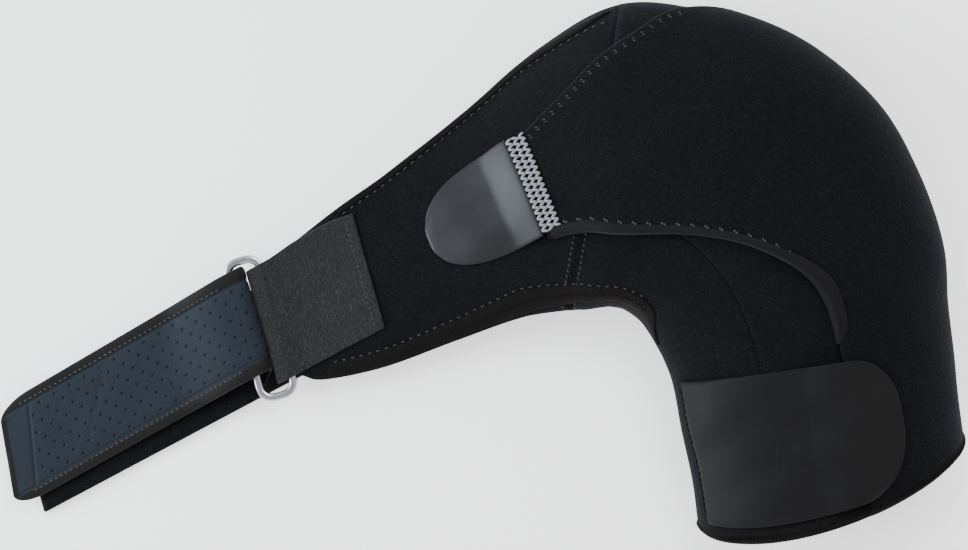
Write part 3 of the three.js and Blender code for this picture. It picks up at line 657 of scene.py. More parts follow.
def threads(name, starts, ends, normals, radius, lift, materials, rings=6, sides=6):
    """Short stitches, each a small arched tube that dips into the cloth at both ends."""
    starts, ends, normals = (np.asarray(a, float) for a in (starts, ends, normals))
    t = np.linspace(0, 1, rings)[None, :, None]
    line = starts[:, None] * (1 - t) + ends[:, None] * t
    hump = np.sin(np.pi * t)
    line = line + normals[:, None] * (lift * hump - 0.55 * radius * (1 - hump))
    along = unit(ends - starts)[:, None]
    side = unit(np.cross(normals, ends - starts))[:, None]
    up = unit(np.cross(np.broadcast_to(along, line.shape), np.broadcast_to(side, line.shape)))
    a = np.linspace(0, 2 * np.pi, sides, endpoint=False)
    size = radius * (0.45 + 0.55 * np.sqrt(np.clip(hump, 0, 1)))
    cos, sin = (part[None, None, :, None] for part in (np.cos(a), np.sin(a)))
    circle = side[:, :, None] * cos - up[:, :, None] * sin
    points = line[:, :, None] + circle * size[:, :, None]
    grid = tube_faces(rings, sides)
    per = rings * sides
    base = (np.arange(len(starts)) * per)[:, None, None]
    quads = (grid[None] + base).reshape(-1, 4).tolist()
    caps = []
    for i in range(len(starts)):
        caps.append([i * per + j for j in range(sides)])
        caps.append([i * per + per - 1 - j for j in range(sides)])
    return close_up(mesh_object(name, points.reshape(-1, 3), quads + caps, materials), weld=False)


def seam(name, curve, pitch, length, radius, lift, thread, slant=0.0, zigzag=False, rows=(0.0,), phase=0.5):
    """A row of stitches along curve(t), t from 0 to 1, which gives points and normals. rows are sideways
    shifts in millimetres; slant turns each stitch, one way or with zigzag both ways in turn."""
    t = np.linspace(0, 1, 1500)
    points, normals = curve(t)
    distance = np.concatenate(([0], np.cumsum(np.linalg.norm(np.diff(points, axis=0), axis=1))))
    count = max(2, int(distance[-1] / pitch))
    spots = (np.arange(count) + phase) / count * distance[-1]
    where = np.interp(spots, distance, t)
    at, up = curve(where)
    ahead, _ = curve(np.clip(where + 1e-3, 0, 1))
    behind, _ = curve(np.clip(where - 1e-3, 0, 1))
    along = unit(ahead - behind)
    side = unit(np.cross(up, along))
    turn = np.full(count, slant)
    if zigzag:
        turn = turn * np.where(np.arange(count) % 2, -1, 1)
    turn = np.radians(turn)[:, None]
    heading = along * np.cos(turn) + side * np.sin(turn)
    starts = np.concatenate([at + side * row - heading * length / 2 for row in rows])
    ends = np.concatenate([at + side * row + heading * length / 2 for row in rows])
    return threads(name, starts, ends, np.concatenate([up] * len(rows)), radius, lift, [thread])


def settle(made, body, *nodes, slot, pad=None):
    """Puts a piece on its body, in place of CAD nodes; pad is not used."""
    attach(made, body)
    if nodes:
        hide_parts(*nodes)


def stitch(*args, **settings):
    """A seam that rides on the wrap."""
    settle(seam(*args, **settings), "wrap", slot="stitch_thread")


# ---- Panels ----


def panel(name, from_k, to_k, from_angle, to_angle, columns, rows):
    def place(u, v, d):
        return cloth(lerp(from_k, to_k, u), lerp(from_angle, to_angle, v), FOAM / 2 + d)

    made = ply(name, place, FOAM, columns, rows, [LOOP_FABRIC], roll=0.9, end_roll=0.2)
    settle(made, "wrap", name, slot="loop_fabric", pad=0.5)


def add_panels():
    """The panels meet at their seams, which show as grooves between the rounded rims."""
    sleeve_end = SEAM_K + SEAM_OVERLAP_K
    chest_start = SEAM_K - SEAM_OVERLAP_K
    for name, low, high, columns, rows in (
            ("front_sleeve_panel", 0, GUSSET_ANGLE, 110, 54),
            ("underarm_gusset", GUSSET_ANGLE, 180, 110, 32),
            ("rear_sleeve_panel", 180, 360, 90, 60)):
        panel(name, 0, sleeve_end, low - SEAM_OVERLAP_ANGLE, high + SEAM_OVERLAP_ANGLE, columns, rows)
    panel("chest_panel", chest_start, LAST_K, 1.5, 178.5, 90, 60)
    panel("back_panel", chest_start, LAST_K, 181.5, 358.5, 70, 50)


# ---- The flap over the shoulder ----

flap_front_angle = through([(0, 78), (3, 79), (4, 83), (5, 95), (6, 107), (7, 116), (8, 120), (9.6, 119.5)])
flap_back_angle = through([
    (0, -22), (6.4, -22), (7.4, -10), (8.37, 21), (8.7, 36.5), (9.17, 49), (9.6, 59), (10.3, 69)])


def flap_point(u, v, distance):
    """v runs from the flap's front edge over the shoulder to its back edge."""
    u, v, distance = np.broadcast_arrays(*(np.asarray(a, float) for a in (u, v, distance)))
    front = flap_front_angle(u * FLAP_FRONT_END_K)
    back = flap_back_angle(u * FLAP_BACK_END_K)
    k = u * lerp(FLAP_FRONT_END_K, FLAP_BACK_END_K, v)
    lifted = FLAP_LIFT * smoothstep(u, 0.3, 0.5) * (1 - smoothstep(u, 0.86, 0.97)) * np.exp(-((v / 0.1) ** 2))
    return cloth(k, lerp(front, back, v), distance + lifted)


def flap_normal(u, v):
    step = 1e-3
    by_u = flap_point(u + step, v, FLAP_OUTSIDE) - flap_point(u - step, v, FLAP_OUTSIDE)
    by_v = flap_point(u, v + step, FLAP_OUTSIDE) - flap_point(u, v - step, FLAP_OUTSIDE)
    return unit(np.cross(by_u, by_v))


def flap_across(u):
    """Millimetres across the flap for one unit of v, near its front edge."""
    return np.linalg.norm(flap_point(u, 0.1, FLAP_OUTSIDE) - flap_point(u, 0.0, FLAP_OUTSIDE), axis=-1) / 0.1


def flap_curve(from_u, to_u, inset, from_back=False):
    def curve(t):
        u = lerp(from_u, to_u, t)
        if from_back:
            width = np.linalg.norm(
                flap_point(u, 1.0, FLAP_OUTSIDE) - flap_point(u, 0.95, FLAP_OUTSIDE), axis=-1) / 0.05
            v = 1 - inset / width
        else:
            v = inset / flap_across(u)
        return flap_point(u, v, FLAP_OUTSIDE), flap_normal(u, v)
    return curve


def add_flap():
    def place(u, v, d):
        return flap_point(u, v, FLAP_INSIDE + FOAM / 2 + d)

    settle(ply("shoulder_flap", place, FOAM, 130, 80, [LOOP_FABRIC]),
           "wrap", "shoulder_flap", slot="loop_fabric", pad=0.55)

    def hem(u, v, d):
        """v runs from the flap's edge to the roll's inner edge; the roll tapers at its start by the cuff."""
        along = lerp(0.292, 0.99, u)
        inner = 6.4 + 3.6 * np.exp(-(((u - 0.17) / 0.1) ** 2))
        inset = lerp(-1.2, inner * lerp(0.12, 1.0, smoothstep(u, -0.03, 0.05)), v)
        roll = 1.1 * np.sin(np.pi * np.clip(v, 0, 1)) ** 0.7 * smoothstep(u, -0.03, 0.08)
        curl = 3.4 * np.clip(1 - v / 0.3, 0, 1.2) ** 2
        tuck = 1.2 * (1 - smoothstep(u, 0, 0.05))
        height = FLAP_OUTSIDE + 0.15 + roll - curl - tuck
        return flap_point(along, inset / flap_across(along), height + d)

    settle(ply("flap_binding", hem, 1.0, 150, 14, [HEM_ROLL]), "wrap", "flap_binding", slot="binding_fabric")
    for name, inset, length, radius, phase, thread in (
            ("flap_hem_stitches", 7.2, 2.6, 0.85, 0.5, THREAD_GREY),
            ("flap_hem_stitches_low", 5.0, 1.8, 0.6, 0.78, THREAD_DARK)):
        stitch(name, flap_curve(0.43, 0.975, inset), 8.2, length, radius, 0.8, thread, slant=22, phase=phase)
    stitch("flap_edge_stitches", flap_curve(0.8, 0.985, 5.6, True), 6.2, 1.7, 0.42, 0.25, THREAD_DARK,
           slant=35, rows=(-0.9, 0.9))


# ---- Bindings, hem and seams ----


def inset_angle(k, millimetres):
    """The angle of the place that lies so many millimetres in from the front sheet's outer edge, in plan."""
    in_x, in_y, out_x, out_y = (curve(k) for curve in SECTION_CURVES[:4])
    return np.degrees(np.arccos(1 - 2 * millimetres / np.hypot(out_x - in_x, out_y - in_y)))


def add_tape(name, from_k, to_k, angle_of, width):
    """A tape that tapers in at its start; angle_of gives the angle so many millimetres in from its edge."""

    def place(u, v, d):
        k = lerp(from_k, to_k, u)
        narrow = lerp(0.15, 1.0, smoothstep(u, -0.02, 0.12))
        angle = angle_of(k, width * narrow * v)
        swell = 0.55 * np.sin(np.pi * np.clip(v, 0, 1)) ** 0.5
        return cloth(k, angle, FOAM + 0.5 + swell + d)

    settle(ply(name, place, 0.9, 160, 10, [BINDING]), "wrap", name, slot="binding_fabric")


def add_bindings():
    end_k = LAST_K - 1.1
    inner_edge = through([(3.5, 172), (4.6, 164), (6, 161), (9, 164), (11, 167), (13, 168)])

    def underarm(k, inset):
        return further(k, inner_edge(k), -inset)

    def chest_top(k, inset):
        return inset_angle(k, inset + lerp(2.5, 0.9, smoothstep(k, 9.4, 10.6)))

    add_tape("underarm_binding", 3.6, end_k, underarm, 9)
    add_tape("chest_top_binding", SEAM_K + 0.1, end_k, chest_top, 4.6)

    def row(name, angle_of, from_k, inset, distance, pitch, length, radius, thread, **turn):
        def curve(t):
            k = lerp(from_k, end_k - 0.05, t)
            angle = angle_of(k, inset)
            return cloth(k, angle, distance), shell_normal(k, angle)

        stitch(name, curve, pitch, length, radius, STITCH_HUMP, thread, **turn)

    row("underarm_stitches", underarm, 4.7, 5.0, FOAM + 1.45, 2.4, 3.9, 0.36, BINDING, slant=54, zigzag=True)
    row("underarm_edge_stitches", underarm, 5.2, 9.6, FOAM + 0.35, 5.2, 2.2, 0.42, THREAD_DARK)
    row("chest_top_stitches", chest_top, SEAM_K + 0.12, 5.8, FOAM + 0.45, 5.6, 2.4, 0.42, THREAD_DARK)

    def flat_seam(t):
        """The flatlock seam where the sleeve side joins the chest side."""
        angle = lerp(172, 52, t)
        return cloth(SEAM_K, angle, FOAM + 0.05), shell_normal(SEAM_K, angle)

    stitch("chest_seam_stitches", flat_seam, 1.9, 6.2, 0.36, STITCH_HUMP, BINDING, slant=68)
    stitch("chest_seam_rows", flat_seam, 3.4, 2.0, 0.42, STITCH_HUMP, THREAD_DARK, slant=25, rows=(-3.5, 3.5))


def hem_reach(angle):
    """How thick the cuff is: one layer of foam, or two where the flap covers it."""
    within = np.mod(angle + 180, 360) - 180
    covered = smoothstep(within, -24, -20) * (1 - smoothstep(within, 76, 80))
    return lerp(FOAM, FLAP_OUTSIDE, covered)


def add_cuff_hem():
    around, section = 320, 18
    angle = np.linspace(-180, 180, around, endpoint=False)[:, None]
    turn = np.linspace(0, 2 * np.pi, section, endpoint=False)[None, :]
    reach = hem_reach(angle)
    share_k, share_d = squared_circle(turn, 0.7)
    k = np.where(share_k > 0, -0.02 + 0.075 * share_k, -0.02 + 0.15 * share_k)
    d = reach / 2 + (reach / 2 + 0.35) * share_d
    k, d, angle = np.broadcast_arrays(k, d, angle)
    points = cloth(k, angle, d).reshape(-1, 3)
    made = close_up(mesh_object("cuff_hem", points, tube_faces(around, section, True), [BINDING]))
    settle(made, "wrap", "cuff_hem", slot="binding_fabric")

    def edge(t):
        a = lerp(-180, 180, t)
        return shell(-0.075, a, hem_reach(a) + 0.3), shell_normal(0.02, a)

    stitch("cuff_hem_stitches", edge, 1.5, 3.6, 0.42, STITCH_HUMP, BINDING, slant=82)


# ---- Hook tabs ----


def tongue(share):
    """The half width of a round-ended tongue, as a share of its root's, at a share of its length."""
    return (1 - share**3) ** 0.45


def add_flap_tab():
    ramp_length = 22
    root_lift = FLAP_OUTSIDE + TAPE_GAP
    flat_lift = FOAM + TAPE_GAP

    def spot(s, w):
        return (TAB_ROOT[0] + TAB_ALONG[0] * s + TAB_ACROSS[0] * (w + TAB_LEAN * s),
                TAB_ROOT[1] + TAB_ALONG[1] * s + TAB_ACROSS[1] * (w + TAB_LEAN * s))

    def place(u, v, d):
        u, v, d = np.broadcast_arrays(u, v, d)
        share = 0.9993 * np.sin(np.clip(u, 0, 1) * math.pi / 2)
        s = TAB_SETBACK + share * (TAB_LENGTH - TAB_SETBACK)
        w = TAB_HALF_WIDTH * tongue(share) * (2 * v - 1)
        k, angle = locate(*spot(s, w), 10.4)
        slope = smoothstep(s, 0, ramp_length)
        return cloth(k, angle, lerp(root_lift, flat_lift, slope) + TAB_THICKNESS / 2 + d)

    tab = ply("flap_hook_tab", place, TAB_THICKNESS, 60, 40, [HOOK_PLASTIC], roll=0.7)
    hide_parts("flap_hook_tab")
    start = Vector(place(0.0, 0.5, 0.0) * MM)
    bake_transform(tab)

    # columns of thick zigzag stitches, mirrored in turn, which leave small gaps between them; the darker
    # sheet beneath paints the shade in those gaps
    starts, ends, normals = [], [], []
    half_w = TAB_HALF_WIDTH - 1.0
    for column in range(ZIGZAG_COLUMNS):
        sides = [ZIGZAG_START_S + column * ZIGZAG_COLUMN_S, ZIGZAG_START_S + (column + 1) * ZIGZAG_COLUMN_S]
        for i in range(2 * ZIGZAG_ROWS):
            order = sides if (i + column) % 2 == 0 else sides[::-1]
            for step, (side, found) in enumerate(zip(order, (starts, ends))):
                w = lerp(-half_w, half_w, (i + step) / (2 * ZIGZAG_ROWS))
                at = locate(*spot(side, w), 10)
                # past the tab's edge, at 0, the stitches lie on the tab
                found.append(cloth(*at, FLAP_OUTSIDE + 1.15 + 0.9 * (side > 0)))
                if step == 0:
                    normals.append(shell_normal(*at))
    zig = threads("flap_tab_stitching", starts, ends, normals, 0.82, 0.3, [THREAD_LIGHT], rings=8, sides=8)
    settle(zig, "wrap", "flap_tab_stitching", slot="stitch_thread")

    # a thin sheet of that darker fabric under the zigzag stitches, painted shade that shows between them
    def patch(u, v, d):
        u, v, d = np.broadcast_arrays(u, v, d)
        k, angle = locate(*spot(lerp(-11.2, -0.9, u), (TAB_HALF_WIDTH - 1.2) * (2 * v - 1)), 10)
        return cloth(k, angle, FLAP_OUTSIDE + 0.3 + d)

    settle(ply("flap_tab_stitch_shade", patch, 0.5, 12, 30, [STITCH_GAP_SHADE]), "wrap", slot="loop_fabric")


def cuff_tab_place(u, v):
    """The section and angle on the cuff tab; v runs from its root to its rounded end."""
    t = np.sin((2 * u - 1) * (math.pi / 2)) * 0.9995
    k = lerp(*CUFF_TAB_MID_K, v) + lerp(*CUFF_TAB_HALF_K, v) * t
    reach = 0.57 + 0.205 * (1 - np.abs(t) ** 2.6) ** (1 / 2.6)
    tip = np.degrees(np.arccos(2 * reach - 1))
    return k, lerp(CUFF_TAB_ROOT_ANGLE, tip, v)


def add_cuff_tab():
    low_lift = FOAM + TAPE_GAP
    high_lift = FLAP_OUTSIDE + TAPE_GAP

    def place(u, v, d):
        u, v, d = np.broadcast_arrays(u, v, d)
        k, angle = cuff_tab_place(np.clip(u, 0, 1), v)
        lift = lerp(high_lift, low_lift, smoothstep(angle, 82, 100))
        rim = 0.35 * smoothstep(v, 0.955, 0.985)
        return cloth(k, angle, lift + CUFF_TAB_THICKNESS / 2 + d * (1 + rim))

    tab = ply("cuff_hook_tab", place, CUFF_TAB_THICKNESS, 70, 70, [HOOK_PLASTIC_CUFF], roll=0.7)
    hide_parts("cuff_hook_tab")
    root, near = (Vector(cloth(1.5, angle, low_lift + CUFF_TAB_THICKNESS) * MM)
                  for angle in (CUFF_TAB_ROOT_ANGLE, CUFF_TAB_ROOT_ANGLE - 9))
    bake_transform(tab)

    def root_row(t):
        k = lerp(0.35, 2.7, t)
        return cloth(k, 163.5, FOAM + 0.2), shell_normal(k, 163.5)

    stitch("cuff_tab_root_stitches", root_row, 3.6, 2.2, 0.4, 0.25, BINDING)


# ---- Ring, keeper and strap ----


def add_ring():
    middle_n = (KEEPER_BAR_N + STRAP_BAR_N) / 2
    corner_n = (KEEPER_BAR_N - STRAP_BAR_N) / 2 - RING_CORNER
    corner_w = RING_HALF_LENGTH - BAR_HALF_WIDTH - RING_CORNER
    line = []
    for side_n, side_w, start in ((1, 1, 0), (-1, 1, 90), (-1, -1, 180), (1, -1, 270)):
        for i in range(17):
            turn = math.radians(start + 90 * i / 16)
            line.append((middle_n + side_n * corner_n + RING_CORNER * math.cos(turn),
                         side_w * corner_w + RING_CORNER * math.sin(turn), math.cos(turn), math.sin(turn)))
    line = np.array(line)
    turn = np.linspace(0, 2 * np.pi, 28, endpoint=False)
    reach, height = squared_circle(turn, 0.8)
    n = line[:, 0, None] + BAR_HALF_WIDTH * reach * line[:, 2, None]
    w = line[:, 1, None] + BAR_HALF_WIDTH * reach * line[:, 3, None]
    points = ring_place(n, w, RING_HEIGHT + BAR_HALF_HEIGHT * height).reshape(-1, 3)
    made = close_up(mesh_object("strap_ring", points, tube_faces(len(line), len(turn), True), [METAL]))
    settle(made, "ring", "strap_ring", slot="plated_metal")


def arc(n, z, reach, rise, start, stop, steps):
    """Points (n, z) on part of an ellipse round a bar."""
    turn = np.radians(np.linspace(start, stop, steps + 1))
    return np.stack((n + reach * np.cos(turn), z + rise * np.sin(turn)), -1)


def along_line(points):
    """Gives a function, from a share of the line's length to its place, its normal and the distance along
    it, and gives the length."""
    points = np.asarray(points, float)
    distance = np.concatenate(([0], np.cumsum(np.hypot(*np.diff(points[:, :2], axis=0).T))))
    length = distance[-1]

    def at(u):
        s = np.asarray(u, float) * length
        values = [np.interp(s, distance, column) for column in points.T]
        ahead = [np.interp(s + 0.6, distance, column) for column in points.T[:2]]
        behind = [np.interp(s - 0.6, distance, column) for column in points.T[:2]]
        dn, dz = ahead[0] - behind[0], ahead[1] - behind[1]
        run = np.maximum(np.hypot(dn, dz), 1e-9)
        return values, -dz / run, dn / run, s

    return at, length


# how far the keeper's upper edge spreads to cover the sheet's edge
KEEPER_SPREAD = through([(0, 0), (16, 0.4), (30, 2.2), (45, 3.0), (58, 2.6), (71, 0.6)])


def add_keeper():
    fold_rise = BAR_HALF_WIDTH + TAPE_GAP + WEBBING / 2
    near_end = KEEPER_BAR_N + 6
    far_end = KEEPER_BAR_N - FOLD_REACH - WEBBING / 2 + KEEPER_LENGTH
    top = [(n, 0.0, 1.0) for n in np.linspace(far_end, near_end + 1.5, 60)]
    fold = [(n, z, 0.0) for n, z in arc(KEEPER_BAR_N, RING_HEIGHT, FOLD_REACH, fold_rise, 80, 280, 50)]
    low = [(n, 0.0, -1.0) for n in np.linspace(near_end + 1.5, far_end - 12, 50)]
    line = np.array(top + fold + low)
    on_sheet = line[:, 2]

    def height(n, w, z, sheet):
        spot = strap_place(n, w, 0)
        k, angle = locate(spot[..., 0], spot[..., 1], 13)
        lay = shell(k, angle, FOAM / 2 + np.sign(sheet) * (FOAM / 2 + TAPE_GAP + WEBBING / 2) + 0 * k)[..., 2]
        lay = lay + np.where(sheet > 0, ripple(k, angle), 0)
        return np.where(sheet == 0, z, lay)

    columns = 28
    rows_w = np.linspace(-KEEPER_HALF_WIDTH, KEEPER_HALF_WIDTH, columns + 1)
    middle = np.stack([height(line[:, 0], np.full(len(line), w), line[:, 1], on_sheet) for w in rows_w], 1)
    for _ in range(6):  # eases the webbing from the sheet into its fold
        middle[1:-1] = (middle[:-2] + 2 * middle[1:-1] + middle[2:]) / 4
    profile = middle[:, columns // 2]
    distance = np.concatenate(([0], np.cumsum(np.hypot(np.diff(line[:, 0]), np.diff(profile)))))
    length = distance[-1]

    def place(u, v, d):
        u, v, d = np.broadcast_arrays(u, v, d)
        s = np.clip(u, 0, 1) * length
        n = np.interp(s, distance, line[:, 0])
        column = np.clip(v, 0, 1) * columns
        low_c = np.clip(np.floor(column).astype(int), 0, columns - 1)
        part = column - low_c
        index = np.interp(s, distance, np.arange(len(line)))
        low_i = np.clip(np.floor(index).astype(int), 0, len(line) - 2)
        share = index - low_i

        def z_at(i):
            return lerp(middle[i, low_c], middle[i, low_c + 1], part)

        z = lerp(z_at(low_i), z_at(low_i + 1), share)
        n_b, n_a = (np.interp(s + e, distance, line[:, 0]) for e in (-0.8, 0.8))
        z_b, z_a = (np.interp(s + e, distance, profile) for e in (-0.8, 0.8))
        run = np.maximum(np.hypot(n_a - n_b, z_a - z_b), 1e-9)
        up_n, up_z = (z_a - z_b) / run, -(n_a - n_b) / run
        rib = 0.16 * np.cos(2 * np.pi * s / RIB_PITCH) * np.sign(d) * smoothstep(np.abs(d), 0.5, 0.8)
        w = KEEPER_HALF_WIDTH * (2 * v - 1)
        w = w + smoothstep(v, 0.55, 1) * KEEPER_SPREAD(n)
        push = d + rib
        return strap_place(n + up_n * push, w, z + up_z * push)

    made = ply("keeper_webbing", place, WEBBING, 560, columns, [WEBBING_FABRIC])
    settle(made, "wrap", "keeper_webbing", slot="ribbed_webbing")

    def end_row(t):
        u, v = 5.5 / length, lerp(0.05, 0.95, t)
        at = place(u, v, WEBBING / 2)
        return at, unit(at - place(u, v, -WEBBING / 2))

    stitch("keeper_end_stitches", end_row, 3.1, 1.8, 0.4, 0.2, THREAD_DARK)


def tip_shrink(n, tip_n):
    """How much the strap's half width shrinks at n, towards a rounded tip at tip_n."""
    past = np.clip((tip_n + TIP_ROUND - n) / TIP_ROUND, 0, 1)
    return TIP_NARROWING * (1 - np.sqrt(np.clip(1 - past**2, 0, 1)))


def free_end_height(n):
    return lerp(LOOP_TOP, FREE_END_HEIGHT, smoothstep(-np.asarray(n, float), -FREE_END_ROOT_N, 62))


def add_torso_strap():
    back_run = STRAP / 2
    fold = STRAP / 2 + 0.25
    middle_run = back_run + 2 * fold
    on_panel = FOAM + TAPE_GAP + STRAP / 2
    knots = [(n, on_panel) for n in (44, 28, 13)]
    knots += [(8, on_panel - 1.2), (4, back_run + 0.6), (-4, back_run)]
    knots += [(n, back_run) for n in np.linspace(-14, -146, 24)]
    knots += [tuple(p) for p in arc(STRAP_FOLD_N + fold, back_run + fold, fold, fold, 270, 90, 20)]
    knots += [(n, middle_run) for n in np.linspace(-146, -52, 20)]
    rise = through([(-52, middle_run), (-44, middle_run + 0.1), (-32, lerp(middle_run, LOOP_BOTTOM, 0.5)),
                    (-22, LOOP_BOTTOM - 0.1), (-18.3, LOOP_BOTTOM)])
    knots += [(n, float(rise(n))) for n in np.linspace(-50, -18.3, 16)]
    at, length = along_line(knots)

    def place(u, v, d):
        u, v, d = np.broadcast_arrays(u, v, d)
        (n, z), up_n, up_z, _ = at(u)
        w = LOWER_SHIFT + STRAP_HALF_WIDTH * (2 * v - 1)
        return strap_place(n + up_n * d, w, z + up_z * d)

    def uv(u, v):
        return np.stack((np.asarray(u) * length + 400, STRAP_HALF_WIDTH * (2 * np.asarray(v) - 1)), -1)

    made = ply("torso_strap", place, STRAP, 220, 24, [LOOP_FABRIC, SLATE_SKIN], uv=uv)
    settle(made, "wrap", "torso_strap", slot="loop_fabric", pad=0.5)


def add_free_end():
    loop = [(-18.2, LOOP_BOTTOM), (LOOP_END_N, LOOP_BOTTOM)]
    loop += [tuple(p) for p in arc(STRAP_BAR_N, RING_HEIGHT, LOOP_REACH, LOOP_HALF_HEIGHT, -90, 90, 40)]
    run = [(n, float(free_end_height(n))) for n in np.linspace(LOOP_END_N, FREE_END_N, 130)]
    at, length = along_line(loop + run)
    loop_length = length - (LOOP_END_N - FREE_END_N)

    def shape(u):
        """What the strap is at a share of its length: its line, its half width and its sideways shift."""
        (n, z), up_n, up_z, s = at(u)
        on_loop = s < loop_length
        past_root = np.clip((FREE_END_ROOT_N - n) / (FREE_END_ROOT_N - FREE_END_N), 0, 1) * ~on_loop
        share = np.where(on_loop, smoothstep(s, 0, 0.62 * loop_length), 1.0)
        half = np.where(on_loop, lerp(STRAP_HALF_WIDTH, FREE_END_HALF_WIDTH[0], share),
                        lerp(*FREE_END_HALF_WIDTH, past_root))
        shift = np.where(on_loop, lerp(LOWER_SHIFT, UPPER_SHIFT[0], share), lerp(*UPPER_SHIFT, past_root))
        return n, z, up_n, up_z, s, half - tip_shrink(n, FREE_END_N), shift, past_root

    def place(u, v, d):
        u, v, d = np.broadcast_arrays(u, v, d)
        n, z, up_n, up_z, s, half, shift, past_root = shape(np.clip(u, 0, 1))
        w = half * (2 * v - 1)
        from_edge = half - np.abs(w)
        from_tip = np.maximum(length - s, 0)
        seam_side = np.abs(np.abs(w) - STRAP_BORDER_W - 1.0)
        groove = np.exp(-((seam_side / 0.75) ** 2))
        cross_seam = np.exp(-(((from_tip - TIP_SEAM - 0.1 * w) / 0.75) ** 2)) * (from_edge > 6)
        groove = np.maximum(groove, cross_seam)
        border = np.exp(-(((from_edge - 4.2) / 2.6) ** 2))
        field = smoothstep(from_edge, 8.5, 14) * smoothstep(from_tip, 18, 26)
        crease = 0.2 * np.sin(0.11 * s + 0.09 * w + 0.8) + 0.16 * np.sin(0.075 * s - 0.16 * w + 2.0)
        crease = crease - 0.22 * np.exp(-(((s - 130 + 0.55 * w) / 2.2) ** 2)) * smoothstep(from_edge, 6, 16)
        near = np.minimum(*(np.hypot(*(np.mod(part / HOLE_PITCH + shift_by, 1) - 0.5 for part in (s, w)))
                            for shift_by in (0.5, 0.0))) * HOLE_PITCH
        pit = (1 - smoothstep(near, 0.35, 1.1)) * (np.abs(w) < STRAP_BORDER_W) * (from_tip > TIP_SEAM)
        upper = smoothstep(-d, 0.9, 1.35)  # the line's normal points down on the free run, so -d is the top
        detail = 0.3 * border + 0.25 * field - 0.75 * groove - 0.5 * pit
        push = d - upper * detail
        lift = crease * smoothstep(s, loop_length + 12, loop_length + 40)
        n_at = n + up_n * push + TIP_SLANT * w * past_root
        return strap_place(n_at, shift + w, z + up_z * push + lift)

    def uv(u, v):
        s, half = shape(np.clip(u, 0, 1))[4:6]
        return np.stack((s, half * (2 * np.asarray(v) - 1)), -1)

    made = ply("strap_free_end", place, STRAP, 260, 90, [LOOP_FABRIC, SLATE_SKIN], uv=uv)
    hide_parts("strap_free_end")
    root = Vector(strap_place(FREE_END_ROOT_N + 0.2, UPPER_SHIFT[0], LOOP_TOP + STRAP / 2) * MM)
    past_hinge = root + Vector(ring_place(-1, 0, 0) - ring_place(0, 0, 0)) * 0.016
    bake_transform(made)

    def border_curve(side):
        def curve(t):
            u = lerp((loop_length + 2) / length, (length - TIP_SEAM * 0.75) / length, t)
            half = shape(u)[5]
            v = 0.5 + side * (STRAP_BORDER_W + 3.0) / (2 * half)
            top = place(u, v, -STRAP / 2)
            return top, unit(top - place(u, v, STRAP / 2))
        return curve

    for side, word in ((1, "upper"), (-1, "lower")):
        row = seam("strap_%s_stitches" % word, border_curve(side), 3.4, 2.2, 0.42, STITCH_HUMP, THREAD_DARK)
        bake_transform(row)

    def patch(u, v, d):
        u, v, d = np.broadcast_arrays(u, v, d)
        share = lerp(0.885, 0.985, u)
        n = lerp(FREE_END_ROOT_N, FREE_END_N, share)
        half = lerp(*FREE_END_HALF_WIDTH, share) - 3.5 - tip_shrink(n, FREE_END_N + 3)
        w = half * (2 * v - 1)
        z = FREE_END_HEIGHT - STRAP / 2 - 0.55 + d
        return strap_place(n + TIP_SLANT * w * share, lerp(*UPPER_SHIFT, share) + w, z)

    hook = ply("strap_hook_patch", patch, 0.9, 24, 30, [HOOK_PLASTIC])
    settle(hook, "strap_end", "strap_hook_patch", slot="hook_plastic")


# ---- Cold pack and pocket ----


def arm_place(along, across, z):
    return np.stack((PACK_CENTRE[0] + ARM_ALONG[0] * along + ARM_ACROSS[0] * across,
                     PACK_CENTRE[1] + ARM_ALONG[1] * along + ARM_ACROSS[1] * across, z + 0 * along), -1)


def pack_layer(name, low_of, high_of, material, slot, pad=None):
    """One layer of the pack, from below to above its middle, which swells between its edges and its welds."""
    middle = PACK_BOTTOM + PACK_DEPTH / 2

    def place(u, v, d):
        u, v, d = np.broadcast_arrays(u, v, d)
        a, b = 2 * u - 1, 2 * v - 1
        pull = 0.16 * a * a * b * b
        a_in, b_in = a * (1 - pull), b * (1 - pull)
        # two welds across the pack keep the gel spread out
        line = np.exp(-(((np.abs(a) - 0.34) / 0.035) ** 2))
        weld = 1 - 0.42 * line * smoothstep(1 - np.abs(b), 0.12, 0.3)
        swell = np.sqrt(np.clip((1 - (0.97 * a) ** 6) * (1 - (0.97 * b) ** 6), 0, 1)) * weld
        z = middle + np.where(d > 0, high_of(swell), low_of(swell))
        return arm_place(a_in * PACK_HALF_LENGTH, b_in * PACK_HALF_WIDTH, z)

    settle(ply(name, place, 0.6, 90, 70, [material], roll=0.3, cap=1), "gel_pack", name, slot=slot, pad=pad)


def add_pack():
    def bulge(swell):
        return 0.5 + (PACK_DEPTH / 2 - PACK_FILM - 0.5) * swell

    def above(swell):
        return bulge(swell) + PACK_FILM

    pack_layer("gel_filling", lambda s: 0.35 - bulge(s), lambda s: bulge(s) - 0.35, GEL, "gel", 0.8)
    pack_layer("gel_pack_top_film", bulge, above, FILM, "pack_film")
    pack_layer("gel_pack_bottom_film", lambda s: -above(s), lambda s: -bulge(s), FILM, "pack_film")


